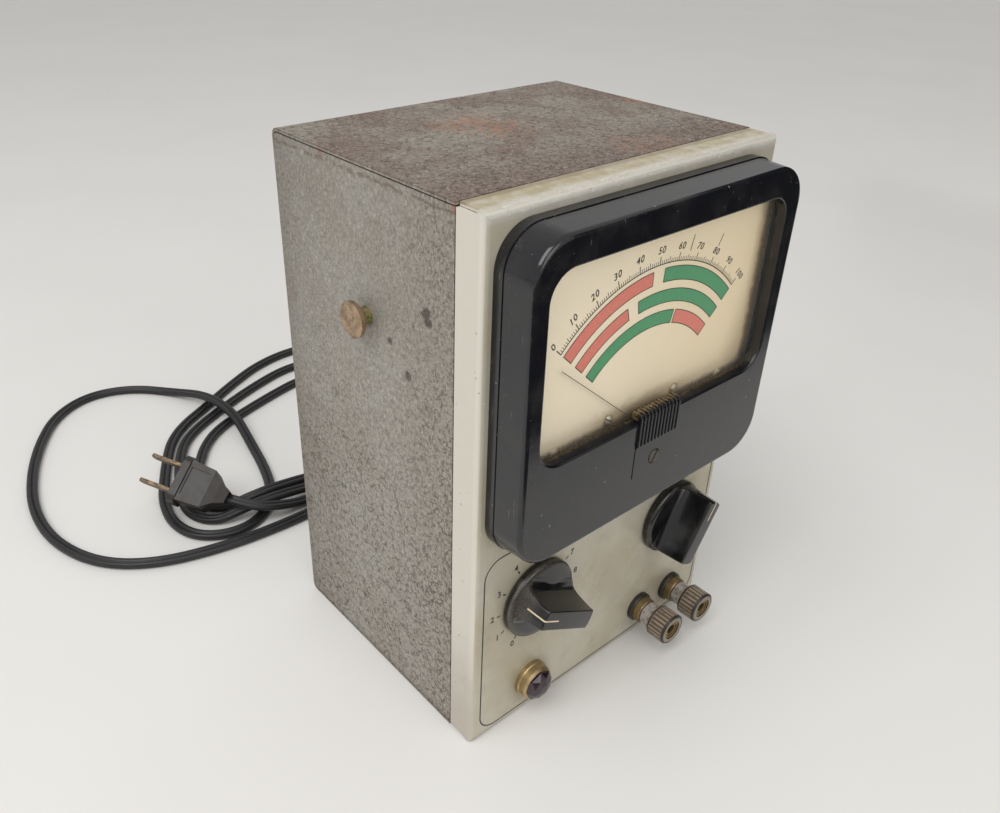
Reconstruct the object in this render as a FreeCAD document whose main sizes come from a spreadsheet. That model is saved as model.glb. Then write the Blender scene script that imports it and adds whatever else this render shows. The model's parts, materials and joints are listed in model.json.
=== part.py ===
import FreeCAD, Part
import math
import os
import Sketcher

Vector = FreeCAD.Vector
Rotation = FreeCAD.Rotation

# Sizes in millimetres, angles in degrees
SIZES = {
    # Case
    "case_width": 127.0,
    "case_height": 196.85,
    "case_depth": 104.8,
    "sheet_gauge": 1.0,
    "case_bend": 2.6,
    "seam": 0.5,
    "side_flange": 9.0,
    "lip_reach": 6.0,
    "lip_slack": 0.3,
    "lip_end": 7.0,
    # Front panel
    "panel_gauge": 1.2,
    "panel_flange": 11.1,
    "panel_bend": 2.2,
    "corner_slit": 1.3,
    "hole_slack": 0.3,
    # Strap studs
    "strap_back": 54.1,
    "strap_height": 149.0,
    "strap_shank_radius": 3.0,
    "strap_head_radius": 6.0,
    "strap_head_thick": 2.5,
    "strap_reach": 6.6,
    "strap_tail_radius": 4.4,
    # Meter body
    "meter_width": 120.0,
    "meter_height": 107.7,
    "meter_bottom": 85.3,
    "meter_corner": 13.0,
    "meter_flange": 3.5,
    "meter_depth": 14.5,
    "cover_step": 0.3,
    "cover_draft": 3.2,
    "cover_round": 1.6,
    "cover_wall": 2.6,
    "cover_front": 3.6,
    "window_width": 105.8,
    "window_rise": 36.2,
    "window_height": 61.1,
    "window_corner": 9.0,
    "window_round": 0.8,
    "glass_thick": 1.6,
    "glass_margin": 2.4,
    "dial_depth": 7.0,
    "dial_thick": 0.8,
    "dial_width": 108.0,
    "dial_margin_low": 5.0,
    "dial_margin_high": 3.4,
    "dial_notch": 14.5,
    "dial_screw_spread": 40.0,
    "dial_screw_rise": -2.5,
    "barrel_radius": 35.0,
    "barrel_wall": 2.5,
    "barrel_depth": 26.0,
    "barrel_lift": 10.7,
    "meter_stud_spread": 50.0,
    "meter_stud_rise": 7.7,
    "meter_stud_drop": 8.0,
    "meter_stud_radius": 2.0,
    "terminal_spread": 16.0,
    # Ribbed pivot cover
    "rib_span": 18.5,
    "rib_count": 10,
    "rib_width": 1.15,
    "rib_rise": 0.7,
    "hood_drop": 2.3,
    "hood_lift": 9.9,
    "patch_width": 19.6,
    "patch_drop": 13.9,
    "patch_proud": 0.6,
    # Meter movement
    "pivot_rise": 29.0,
    "rest_angle": 50.0,
    "needle_reach": 52.3,
    "staff_radius": 0.75,
    "pivot_slack": 0.06,
    "magnet_radius": 20.0,
    "pole_outer": 13.4,
    "pole_inner": 9.6,
    "core_radius": 7.4,
    "movement_front": 5.5,
    "movement_back": 21.5,
    "zero_drop": 8.8,
    "zero_offset": 1.2,
    "zero_shank": 1.5,
    "zero_head": 2.45,
    "zero_recess": 0.1,
    "zero_pin": 0.5,
    # Controls
    "control_spread": 71.0,
    "control_height": 55.15,
    "knob_height": 16.0,
    "skirt_radius": 15.1,
    "knob_low_radius": 14.2,
    "knob_top_radius": 13.3,
    "bar_width": 6.9,
    "scoop_radius": 13.0,
    "calibration_rest": 150.0,
    "selector_rest": 60.0,
    "shaft_radius": 3.175,
    "shaft_slack": 0.05,
    "bushing_radius": 4.7,
    "bushing_reach": 6.5,
    "control_nut": 7.2,
    "nut_thick": 2.4,
    "pot_radius": 12.0,
    # Pilot lamp
    "lamp_offset": -35.5,
    "lamp_height": 15.0,
    "bezel_radius": 7.2,
    "bezel_reach": 5.0,
    "jewel_radius": 5.4,
    "jewel_reach": 7.4,
    "lamp_barrel": 6.2,
    # Binding posts
    "post_offset": 34.3,
    "post_spacing": 19.05,
    "post_height": 13.7,
    "post_washer": 6.1,
    "post_collar": 5.2,
    "post_neck": 4.6,
    "post_cap": 6.4,
    "post_reach": 18.0,
    "post_bore": 2.0,
    "post_stud": 3.0,
    "post_thread": 2.1,
    "post_slack": 0.05,
    "insert_radius": 4.0,
    "flute_count": 24,
    "flute_radius": 0.5,
    # Chassis and what it carries
    "chassis_width": 106.0,
    "chassis_height": 78.0,
    "chassis_drop": 42.0,
    "chassis_gauge": 1.2,
    "case_screw_spread": 80.0,
    "case_screw_drop": 10.0,
    "transformer_width": 50.0,
    "transformer_height": 42.0,
    "transformer_stack": 18.0,
    "transformer_inset": 35.4,
    "coil_wall": 6.7,
    "coil_slack": 0.3,
    "tube_radius": 9.4,
    "tube_height": 49.0,
    "tube_gap": 1.8,
    "socket_flange": 12.6,
    "can_radius": 11.0,
    "can_height": 45.0,
    "can_gap": 3.0,
    "rectifier_plate": 20.0,
    "rectifier_pitch": 4.6,
    "rectifier_offset": -4.0,
    "strip_length": 60.0,
    "strip_height": 12.0,
    "strip_drop": 4.0,
    "strip_inset": 21.4,
    # Line cord
    "cord_offset": 25.0,
    "cord_height": 16.0,
    "cord_diameter": 4.4,
    "cord_lift": 0.1,
    "grommet_reach": 22.0,
    "grommet_radius": 8.5,
    "plug_width": 23.4,
    "plug_thick": 13.8,
    "plug_length": 25.0,
    "blade_spacing": 12.7,
    "blade_length": 17.0,
    "blade_width": 6.35,
    "blade_thick": 1.5,
}

doc = FreeCAD.newDocument("yoke_tester")
sheet = doc.addObject("Spreadsheet::Sheet", "Sheet")
for row, (alias, amount) in enumerate(SIZES.items(), 1):
    sheet.set(f"A{row}", alias)
    sheet.set(f"B{row}", str(amount))
    sheet.setAlias(f"B{row}", alias)
doc.recompute()


class Size:
    """A number that keeps the spreadsheet formula it came from."""

    def __init__(self, text, value):
        self.text = text
        self.value = value

    def __add__(self, other):
        other = sized(other)
        return Size(f"({self.text} + {other.text})", self.value + other.value)

    def __sub__(self, other):
        other = sized(other)
        return Size(f"({self.text} - {other.text})", self.value - other.value)

    def __mul__(self, other):
        other = sized(other)
        return Size(f"({self.text} * {other.text})", self.value * other.value)

    def __truediv__(self, other):
        other = sized(other)
        return Size(f"({self.text} / {other.text})", self.value / other.value)

    def __neg__(self):
        return Size(f"(-1 * {self.text})", -self.value)

    def __rmul__(self, other):
        return sized(other) * self

    def __radd__(self, other):
        return sized(other) + self

    def __rsub__(self, other):
        return sized(other) - self


def sized(amount):
    """Gives any number as a Size."""
    if isinstance(amount, Size):
        return amount
    return Size(f"({float(amount)})", float(amount))


def cell(alias):
    """Gives the spreadsheet cell with this name as a Size."""
    return Size(f"Sheet.{alias}", float(SIZES[alias]))


nodes = []


def node(thing):
    """Marks a finished piece for its own file."""
    nodes.append(thing)
    return thing


def bind(thing, name, amount):
    """Ties one property to its formula."""
    thing.setExpression(name, sized(amount).text)


def place(thing, x=0, y=0, z=0, turn=None):
    """Puts a piece at its place in the shared frame."""
    spot = Vector(sized(x).value, sized(y).value, sized(z).value)
    thing.Placement = FreeCAD.Placement(spot, turn or Rotation())
    bind(thing, "Placement.Base.x", x)
    bind(thing, "Placement.Base.y", y)
    bind(thing, "Placement.Base.z", z)
    return thing


def new_body(label):
    """Starts a PartDesign body."""
    body = doc.addObject("PartDesign::Body", label)
    body.Label = label
    return body


def origin_feature(body, role):
    """Finds one plane or axis of the body's origin."""
    return [item for item in body.Origin.OriginFeatures if item.Role == role][0]


def sketch(body, role, lift=0):
    """Starts a sketch on an origin plane, moved along the plane's normal."""
    page = body.newObject("Sketcher::SketchObject", body.Name + "_sketch")
    page.AttachmentSupport = (origin_feature(body, role), [""])
    page.MapMode = "FlatFace"
    bind(page, "AttachmentOffset.Base.z", lift)
    return page


def loop(page, corners):
    """Draws a closed outline whose corners follow their formulas."""
    first = page.GeometryCount
    count = len(corners)
    spots = [Vector(sized(u).value, sized(v).value, 0) for u, v in corners]
    lines = [Part.LineSegment(spots[i], spots[(i + 1) % count]) for i in range(count)]
    page.addGeometry(lines)
    joints = []
    for i in range(count):
        joints.append(Sketcher.Constraint("Coincident", first + i, 2, first + (i + 1) % count, 1))
    page.addConstraint(joints)
    for i, corner in enumerate(corners):
        for kind, amount in zip(("DistanceX", "DistanceY"), corner):
            amount = sized(amount)
            number = page.addConstraint(Sketcher.Constraint(kind, -1, 1, first + i, 1, amount.value))
            page.setExpression(f"Constraints[{number}]", amount.text)


def rectangle(page, u0, v0, u1, v1):
    """Draws a rectangle between two corners."""
    loop(page, [(u0, v0), (u1, v0), (u1, v1), (u0, v1)])


def circle(page, u, v, radius):
    """Draws a circle whose centre and radius follow their formulas."""
    u, v, radius = sized(u), sized(v), sized(radius)
    curve = page.addGeometry(Part.Circle(Vector(u.value, v.value, 0), Vector(0, 0, 1), radius.value))
    number = page.addConstraint(Sketcher.Constraint("Radius", curve, radius.value))
    page.setExpression(f"Constraints[{number}]", radius.text)
    for kind, amount in (("DistanceX", u), ("DistanceY", v)):
        number = page.addConstraint(Sketcher.Constraint(kind, -1, 1, curve, 3, amount.value))
        page.setExpression(f"Constraints[{number}]", amount.text)


def rounded_rectangle(page, u0, v0, u1, v1, radius):
    """Draws a rectangle with round corners between two corners."""
    u0, v0, u1, v1, radius = sized(u0), sized(v0), sized(u1), sized(v1), sized(radius)
    first = page.GeometryCount
    flat = Vector(0, 0, 1)
    runs = [
        ((u0 + radius, v0), (u1 - radius, v0)),
        ((u1, v0 + radius), (u1, v1 - radius)),
        ((u1 - radius, v1), (u0 + radius, v1)),
        ((u0, v1 - radius), (u0, v0 + radius)),
    ]
    for start, end in runs:
        ends = [Vector(u.value, v.value, 0) for u, v in (start, end)]
        page.addGeometry(Part.LineSegment(*ends))
    centres = [
        (u1 - radius, v0 + radius),
        (u1 - radius, v1 - radius),
        (u0 + radius, v1 - radius),
        (u0 + radius, v0 + radius),
    ]
    for number, (u, v) in enumerate(centres):
        whole = Part.Circle(Vector(u.value, v.value, 0), flat, radius.value)
        opening = math.radians(90 * number - 90)
        page.addGeometry(Part.ArcOfCircle(whole, opening, opening + math.pi / 2))
    for i in range(4):
        arc = first + 4 + i
        page.addConstraint(Sketcher.Constraint("Coincident", first + i, 2, arc, 1))
        page.addConstraint(Sketcher.Constraint("Coincident", arc, 2, first + (i + 1) % 4, 1))
        number = page.addConstraint(Sketcher.Constraint("Radius", arc, radius.value))
        page.setExpression(f"Constraints[{number}]", radius.text)
        for end, spot in enumerate(runs[i], 1):
            for kind, amount in zip(("DistanceX", "DistanceY"), spot):
                number = page.addConstraint(Sketcher.Constraint(kind, -1, 1, first + i, end, amount.value))
                page.setExpression(f"Constraints[{number}]", amount.text)


def pad(body, page, length, back=False, symmetric=False):
    """Adds material along the sketch normal, or against it."""
    feature = body.newObject("PartDesign::Pad", body.Name + "_pad")
    feature.Profile = page
    bind(feature, "Length", length)
    feature.Reversed = back
    if symmetric:
        feature.SideType = "Symmetric"
    return feature


def pocket(body, page, length, front=False, symmetric=False):
    """Cuts against the sketch normal, or along it."""
    feature = body.newObject("PartDesign::Pocket", body.Name + "_pocket")
    feature.Profile = page
    bind(feature, "Length", length)
    feature.Reversed = front
    if symmetric:
        feature.SideType = "Symmetric"
    return feature


def fillet(body, feature, names, radius):
    """Rounds the named edges of a feature."""
    rounding = body.newObject("PartDesign::Fillet", body.Name + "_fillet")
    rounding.Base = (feature, names)
    bind(rounding, "Radius", radius)
    doc.recompute()
    return rounding


def edges(feature, wanted):
    """Names the edges of a feature that pass a test."""
    doc.recompute()
    return [f"Edge{i}" for i, edge in enumerate(feature.Shape.Edges, 1) if wanted(edge)]


def runs_along(edge, direction, slope=0.99):
    """Tells whether an edge is straight and close to a direction."""
    ends = edge.Vertexes
    if len(ends) < 2:
        return False
    chord = ends[1].Point - ends[0].Point
    return abs(chord.dot(direction)) > slope * edge.Length


def lies_at(edge, depth):
    """Tells whether a whole edge lies at one depth from the panel face."""
    box = edge.BoundBox
    return abs(box.YMin - depth) < 1e-4 and abs(box.YMax - depth) < 1e-4


def reaches_back(edge, depth):
    """Tells whether an edge's rearmost point is at a depth."""
    return abs(edge.BoundBox.YMax - depth) < 1e-4


def turned(label, outline, x=0, y=0, z=0, axis="Y", turn=None):
    """Revolves an outline of (radius, depth) corners about one axis."""
    body = new_body(label)
    page = sketch(body, "XZ_Plane" if axis == "Z" else "XY_Plane")
    loop(page, outline)
    spin = body.newObject("PartDesign::Revolution", label + "_turn")
    spin.Profile = page
    spin.ReferenceAxis = (page, ["H_Axis" if axis == "X" else "V_Axis"])
    spin.Angle = 360
    place(body, x, y, z, turn)
    return body


def rod(label, radius, start, end, x=0, y=0, z=0, axis="Y"):
    """Turns a plain round bar between two depths."""
    return turned(label, [(0, start), (radius, start), (radius, end), (0, end)], x, y, z, axis)


def ring(label, outer, inner, start, end, x=0, y=0, z=0, axis="Y"):
    """Turns a plain ring between two depths."""
    outline = [(inner, start), (outer, start), (outer, end), (inner, end)]
    return turned(label, outline, x, y, z, axis)


def block(label, x0, y0, z0, x1, y1, z1):
    """Makes a plain box between two corners."""
    box = doc.addObject("Part::Box", label)
    box.Label = label
    bind(box, "Length", sized(x1) - x0)
    bind(box, "Width", sized(y1) - y0)
    bind(box, "Height", sized(z1) - z0)
    place(box, x0, y0, z0)
    return box


def group(label, members):
    """Keeps like pieces together as separate solids."""
    thing = doc.addObject("Part::Compound", label)
    thing.Label = label
    thing.Links = members
    return thing


def joined(label, members):
    """Fuses members into one solid."""
    thing = doc.addObject("Part::MultiFuse", label)
    thing.Label = label
    thing.Shapes = members
    thing.Refine = True
    return thing


def less(label, base, tool):
    """Cuts one piece out of another."""
    thing = doc.addObject("Part::Cut", label)
    thing.Label = label
    thing.Base = base
    thing.Tool = tool
    return thing


def hex_nut(label, across_radius, bore, thick, x, y, z):
    """Makes a nut that starts at depth y and grows to the back."""
    prism = doc.addObject("Part::Prism", label + "_hex")
    prism.Polygon = 6
    bind(prism, "Circumradius", across_radius)
    bind(prism, "Height", thick)
    place(prism, x, y, z, Rotation(Vector(1, 0, 0), -90))
    drill = doc.addObject("Part::Cylinder", label + "_bore")
    bind(drill, "Radius", bore)
    bind(drill, "Height", thick)
    place(drill, x, y, z, Rotation(Vector(1, 0, 0), -90))
    return less(label, prism, drill)


# Places used again and again
face = -cell("case_depth") / 2
back = cell("case_depth") / 2
half = cell("case_width") / 2
top = cell("case_height")
gauge = cell("sheet_gauge")
panel_gauge = cell("panel_gauge")
case_front = face + cell("panel_flange") + cell("seam")
lip_step = panel_gauge + cell("lip_slack")
meter_front = cell("meter_depth")
meter_flange = cell("meter_flange")
meter_low = cell("meter_bottom")
meter_top = meter_low + cell("meter_height")
pivot = meter_low + cell("pivot_rise")
barrel_z = pivot + cell("barrel_lift")
zero = pivot - cell("zero_drop")
hood_low = pivot - cell("hood_drop")
hood_high = pivot + cell("hood_lift")
patch_low = pivot - cell("patch_drop")
window_low = meter_low + cell("window_rise")
window_high = window_low + cell("window_height")
dial_low = window_low - cell("dial_margin_low")
dial_high = window_high + cell("dial_margin_high")
dial_screw_z = window_low + cell("dial_screw_rise")
stud_levels = [meter_low + cell("meter_stud_rise"), meter_top - cell("meter_stud_drop")]
glass_front = meter_front - cell("cover_front")
control = cell("control_height")
calibration_x = -cell("control_spread") / 2
selector_x = cell("control_spread") / 2
post_xs = [cell("post_offset") - cell("post_spacing") / 2, cell("post_offset") + cell("post_spacing") / 2]
post_z = cell("post_height")
screw_level = cell("chassis_height") - cell("case_screw_drop")
can_y = back - gauge - cell("can_gap") - cell("can_radius")
tube_x = -cell("chassis_width") / 4 - 2
tube_y = can_y - cell("can_radius") - cell("tube_gap") - cell("socket_flange")
along_y = Vector(0, 1, 0)


# Case
def make_case_wrap():
    """Folds the top, back and bottom out of one sheet, with lips that tuck inside the panel."""
    body = new_body("case_wrap")
    page = sketch(body, "YZ_Plane")
    tip = case_front - cell("lip_reach")
    loop(page, [
        (tip, top - lip_step),
        (case_front, top - lip_step),
        (case_front, top),
        (back, top),
        (back, 0),
        (case_front, 0),
        (case_front, lip_step),
        (tip, lip_step),
        (tip, lip_step + gauge),
        (case_front + gauge, lip_step + gauge),
        (case_front + gauge, gauge),
        (back - gauge, gauge),
        (back - gauge, top - gauge),
        (case_front + gauge, top - gauge),
        (case_front + gauge, top - lip_step - gauge),
        (tip, top - lip_step - gauge),
    ])
    fold = pad(body, page, cell("case_width"), symmetric=True)
    across = Vector(1, 0, 0)
    outer = edges(fold, lambda edge: runs_along(edge, across) and reaches_back(edge, back.value))
    fold = fillet(body, fold, outer, cell("case_bend"))
    rear = (back - gauge).value
    inner = edges(fold, lambda edge: runs_along(edge, across) and reaches_back(edge, rear))
    fillet(body, fold, inner, cell("case_bend") - gauge)
    page = sketch(body, "XY_Plane", top / 2)
    for side in (-1, 1):
        rectangle(page, side * (half - cell("lip_end")), tip - 1, side * (half + 1), case_front + gauge)
    pocket(body, page, top - gauge * 2, symmetric=True)
    page = sketch(body, "XZ_Plane", gauge - back)
    circle(page, cell("cord_offset"), cell("cord_height"), 6.0)
    for side in (-1, 1):
        circle(page, side * cell("case_screw_spread") / 2, screw_level, 2.0)
    pocket(body, page, gauge * 2)
    place(body)
    return node(body)


def make_side_panel(label, side):
    """Folds one side sheet that fits between the top and bottom of the wrap."""
    body = new_body(label)
    low = gauge + cell("seam")
    page = sketch(body, "XY_Plane", low)
    tip = case_front - cell("lip_reach")
    loop(page, [
        (side * (half - lip_step), tip),
        (side * (half - lip_step), case_front),
        (side * half, case_front),
        (side * half, back - gauge),
        (side * (half - cell("side_flange")), back - gauge),
        (side * (half - cell("side_flange")), back - gauge * 2),
        (side * (half - gauge), back - gauge * 2),
        (side * (half - gauge), case_front + gauge),
        (side * (half - lip_step - gauge), case_front + gauge),
        (side * (half - lip_step - gauge), tip),
    ])
    pad(body, page, top - low * 2)
    for level in (low, top - low - gauge):
        page = sketch(body, "XY_Plane", level)
        inner = half - cell("side_flange")
        rectangle(page, side * (half - gauge), case_front + 6, side * inner, back - gauge * 4)
        pad(body, page, gauge)
    page = sketch(body, "YZ_Plane", side * half)
    rear = back - gauge
    loop(page, [(rear - 1.1, low), (rear, low), (rear, low + 1.3)])
    loop(page, [(rear - 1.1, top - low), (rear, top - low), (rear, top - low - 1.3)])
    pocket(body, page, cell("side_flange") * 3, symmetric=True)
    page = sketch(body, "YZ_Plane", half if side > 0 else gauge - half)
    circle(page, face + cell("strap_back"), cell("strap_height"), cell("strap_shank_radius"))
    pocket(body, page, gauge)
    place(body)
    return node(body)


def make_front_panel():
    """Folds the panel into a shallow pan with open corners and its control holes."""
    body = new_body("front_panel")
    page = sketch(body, "XZ_Plane")
    rectangle(page, -half, 0, half, top)
    slab = pad(body, page, cell("panel_flange"), back=True)
    slab = fillet(body, slab, edges(slab, lambda edge: lies_at(edge, 0)), cell("panel_bend"))
    page = sketch(body, "XZ_Plane", -panel_gauge)
    rectangle(page, panel_gauge - half, panel_gauge, half - panel_gauge, top - panel_gauge)
    hollow = pocket(body, page, cell("panel_flange"))
    inner = edges(hollow, lambda edge: lies_at(edge, panel_gauge.value))
    fillet(body, hollow, inner, cell("panel_bend") - panel_gauge)
    slit = cell("corner_slit")
    page = sketch(body, "XZ_Plane", -cell("panel_bend") - 0.8)
    for side in (-1, 1):
        rectangle(page, side * (half - slit), -1, side * (half + 1), slit)
        rectangle(page, side * (half - slit), top - slit, side * (half + 1), top + 1)
    pocket(body, page, cell("panel_flange"))
    slack = cell("hole_slack")
    page = sketch(body, "XZ_Plane")
    circle(page, 0, barrel_z, cell("barrel_radius") + slack)
    for side in (-1, 1):
        for level in stud_levels:
            circle(page, side * cell("meter_stud_spread"), level, cell("meter_stud_radius") + slack)
    for x in (calibration_x, selector_x):
        circle(page, x, control, cell("bushing_radius") + slack)
    circle(page, cell("lamp_offset"), cell("lamp_height"), cell("lamp_barrel") + slack)
    for x in post_xs:
        circle(page, x, post_z, cell("post_thread") + 1)
    pocket(body, page, panel_gauge)
    place(body, 0, face, 0)
    return node(body)


def make_strap_stud(label, side):
    """Turns one riveted stud for the carrying strap."""
    tail = gauge + 1.4
    reach = cell("strap_reach")
    neck = reach - cell("strap_head_thick")
    shank = cell("strap_shank_radius")
    head = cell("strap_head_radius")
    outline = [
        (-side * tail, 0),
        (-side * tail, cell("strap_tail_radius") - 1),
        (-side * (gauge + 0.4), cell("strap_tail_radius")),
        (-side * gauge, cell("strap_tail_radius")),
        (-side * gauge, shank),
        (side * neck, shank),
        (side * neck, head - 0.4),
        (side * (neck + 0.4), head),
        (side * (reach - 0.7), head),
        (side * reach, head - 0.9),
        (side * reach, 0),
    ]
    stud = turned(label, outline, side * half, face + cell("strap_back"), cell("strap_height"), "X")
    return node(stud)


def make_case_screws():
    """Turns the two screws that hold the back to the chassis."""
    screws = []
    for number, side in enumerate((-1, 1), 1):
        outline = [(0, 1.6), (2.2, 1.6), (3.2, 0.7), (3.2, 0), (1.7, 0), (1.7, -5.5), (0, -5.5)]
        x = side * cell("case_screw_spread") / 2
        screws.append(turned(f"case_screw_{number}", outline, x, back, screw_level))
    return node(group("case_screws", screws))


# Meter
def make_meter_base():
    """Moulds the rear frame of the meter with its round barrel and dial pillars."""
    body = new_body("meter_base")
    page = sketch(body, "XZ_Plane")
    side = cell("meter_width") / 2
    rounded_rectangle(page, -side, meter_low, side, meter_top, cell("meter_corner"))
    pad(body, page, meter_flange)
    page = sketch(body, "XZ_Plane")
    circle(page, 0, barrel_z, cell("barrel_radius"))
    pad(body, page, cell("barrel_depth"), back=True)
    page = sketch(body, "XZ_Plane", meter_flange)
    circle(page, 0, barrel_z, cell("barrel_radius") - cell("barrel_wall"))
    pocket(body, page, meter_flange + cell("barrel_depth") - cell("barrel_wall"))
    page = sketch(body, "XZ_Plane", meter_flange)
    for side in (-1, 1):
        circle(page, side * cell("dial_screw_spread"), dial_screw_z, 2.4)
    pad(body, page, cell("dial_depth") - cell("dial_thick") - meter_flange)
    page = sketch(body, "XZ_Plane", cell("dial_depth") - cell("dial_thick"))
    for side in (-1, 1):
        circle(page, side * cell("dial_screw_spread"), dial_screw_z, 1.0)
    pocket(body, page, 2.4)
    place(body, 0, face, 0)
    return node(body)


def make_meter_cover():
    """Moulds the drafted front cover with its window and the seat for the pivot cover."""
    body = new_body("meter_cover")
    step = cell("cover_step")
    side = cell("meter_width") / 2 - step
    low = meter_low + step
    high = meter_top - step
    page = sketch(body, "XZ_Plane", meter_flange)
    rectangle(page, -side, low, side, high)
    shell = pad(body, page, meter_front - meter_flange)
    bind(shell, "TaperAngle", -cell("cover_draft"))
    corners = edges(shell, lambda edge: runs_along(edge, along_y, 0.9))
    shell = fillet(body, shell, corners, cell("meter_corner"))
    rim = edges(shell, lambda edge: lies_at(edge, -meter_front.value))
    fillet(body, shell, rim, cell("cover_round"))
    wall = cell("cover_wall")
    page = sketch(body, "XZ_Plane", meter_flange)
    rounded_rectangle(page, wall - side, low + wall, side - wall, high - wall, cell("meter_corner") - wall)
    pocket(body, page, glass_front - meter_flange, front=True)
    page = sketch(body, "XZ_Plane", meter_front)
    wide = cell("window_width") / 2
    rounded_rectangle(page, -wide, window_low, wide, window_high, cell("window_corner"))
    window = pocket(body, page, cell("cover_front"))
    bounds = FreeCAD.BoundBox(-wide.value, -100, window_low.value, wide.value, 100, window_high.value)
    bounds.enlarge(1e-3)
    rim = edges(window, lambda edge: lies_at(edge, -meter_front.value) and bounds.isInside(edge.BoundBox))
    fillet(body, window, rim, cell("window_round"))
    page = sketch(body, "XZ_Plane", meter_front)
    seat = cell("patch_width") / 2 + 0.15
    rectangle(page, -seat, patch_low - 0.15, seat, hood_low + 2.2)
    pocket(body, page, 0.8)
    page = sketch(body, "XZ_Plane", meter_front)
    circle(page, 0, zero, cell("zero_shank") + cell("pivot_slack"))
    pocket(body, page, cell("cover_front"))
    place(body, 0, face, 0)
    return node(body)


def make_pivot_cover():
    """Moulds the ribbed hood over the pivot and the flush patch below it."""
    body = new_body("pivot_cover")
    patch = cell("patch_width") / 2
    low = hood_low
    high = hood_high
    sill = window_low + 0.3
    rear = -glass_front - 0.4
    rise = cell("rib_rise")
    proud = cell("patch_proud")
    page = sketch(body, "XZ_Plane", meter_front - 0.8)
    rectangle(page, -patch, patch_low, patch, low + 2)
    pad(body, page, proud + 0.8)
    page = sketch(body, "YZ_Plane")
    loop(page, [
        (-meter_front, low),
        (-meter_front - proud, low),
        (-meter_front - proud, high - 2),
        (-meter_front + 0.9, high),
        (rear, high),
        (rear, sill),
        (-meter_front, sill),
    ])
    pad(body, page, cell("rib_span") + cell("rib_width"), symmetric=True)
    page = sketch(body, "YZ_Plane", -cell("rib_span") / 2)
    loop(page, [
        (-meter_front, low + 0.4),
        (-meter_front - proud - rise, low + 0.8),
        (-meter_front - proud - rise, high - 1.8),
        (-meter_front - 0.1 - rise, high - 0.4),
        (-meter_front + 0.9 - rise, high + rise * 0.6),
        (-meter_front + 1.6, high + rise),
        (rear, high + rise),
        (rear, sill),
        (-meter_front, sill),
    ])
    rib = pad(body, page, cell("rib_width"), symmetric=True)
    ribs = body.newObject("PartDesign::LinearPattern", "pivot_cover_ribs")
    ribs.Originals = [rib]
    ribs.Direction = (origin_feature(body, "X_Axis"), [""])
    bind(ribs, "Length", cell("rib_span"))
    bind(ribs, "Occurrences", cell("rib_count"))
    body.Tip = ribs
    page = sketch(body, "XZ_Plane", meter_front + 1)
    circle(page, 0, zero, cell("zero_head") + 0.3)
    pocket(body, page, 3.0)
    place(body, 0, face, 0)
    return node(body)


def make_meter_front_pieces():
    """Makes the glass, the dial and the dial screws."""
    margin = cell("glass_margin")
    wide = cell("window_width") / 2 + margin
    glass = block("meter_glass", -wide, face - glass_front, window_low - margin,
                  wide, face - glass_front + cell("glass_thick"), window_high + margin)
    node(glass)
    body = new_body("dial_plate")
    page = sketch(body, "XZ_Plane", cell("dial_depth") - cell("dial_thick"))
    side = cell("dial_width") / 2
    notch = cell("dial_notch")
    shelf = window_low - 0.6
    loop(page, [
        (-side, dial_low),
        (-notch, dial_low),
        (-notch, shelf),
        (notch, shelf),
        (notch, dial_low),
        (side, dial_low),
        (side, dial_high),
        (-side, dial_high),
    ])
    for end in (-1, 1):
        circle(page, end * cell("dial_screw_spread"), dial_screw_z, 1.0)
    pad(body, page, cell("dial_thick"))
    place(body, 0, face, 0)
    node(body)
    screws = []
    seat = -cell("dial_depth")
    for number, end in enumerate((-1, 1), 1):
        outline = [(0, seat - 0.9), (1.2, seat - 0.9), (1.8, seat - 0.4), (1.8, seat), (0.9, seat),
                   (0.9, seat + 2.6), (0, seat + 2.6)]
        screws.append(turned(f"dial_screw_{number}", outline, end * cell("dial_screw_spread"), face,
                             dial_screw_z))
    node(group("dial_screws", screws))


def make_movement():
    """Makes the fixed pieces of the meter movement."""
    front = cell("movement_front")
    rear = cell("movement_back")
    staff_hole = cell("staff_radius") + cell("pivot_slack")
    plate_back = cell("barrel_depth") - cell("barrel_wall")
    node(ring("movement_plate", cell("magnet_radius"), staff_hole, rear, plate_back, 0, face, pivot))
    node(ring("meter_magnet", cell("magnet_radius"), cell("pole_outer"), front, rear, 0, face, pivot))
    poles = ring("pole_ring", cell("pole_outer"), cell("pole_inner"), front, rear, 0, face, pivot)
    gap = block("pole_gap", -4, face, pivot - 30, 4, face + rear + 1, pivot + 30)
    node(less("pole_pieces", poles, gap))
    body = new_body("iron_core")
    page = sketch(body, "XZ_Plane", -front - 1)
    circle(page, 0, 0, cell("core_radius"))
    pad(body, page, rear - front - 3.5, back=True)
    page = sketch(body, "XZ_Plane", 2.5 - rear)
    for side in (-1, 1):
        circle(page, 0, side * 5, 1.0)
    pad(body, page, 2.5, back=True)
    place(body, 0, face, pivot)
    node(body)
    body = new_body("front_bridge")
    page = sketch(body, "XY_Plane", -3.8)
    loop(page, [
        (-13, front),
        (-13, -10.4),
        (13, -10.4),
        (13, front),
        (12, front),
        (12, -9.6),
        (-12, -9.6),
        (-12, front),
    ])
    pad(body, page, 7.4)
    page = sketch(body, "XZ_Plane", 11)
    circle(page, 0, 0, staff_hole)
    pocket(body, page, 2.0)
    place(body, 0, face, pivot)
    node(body)


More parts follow.
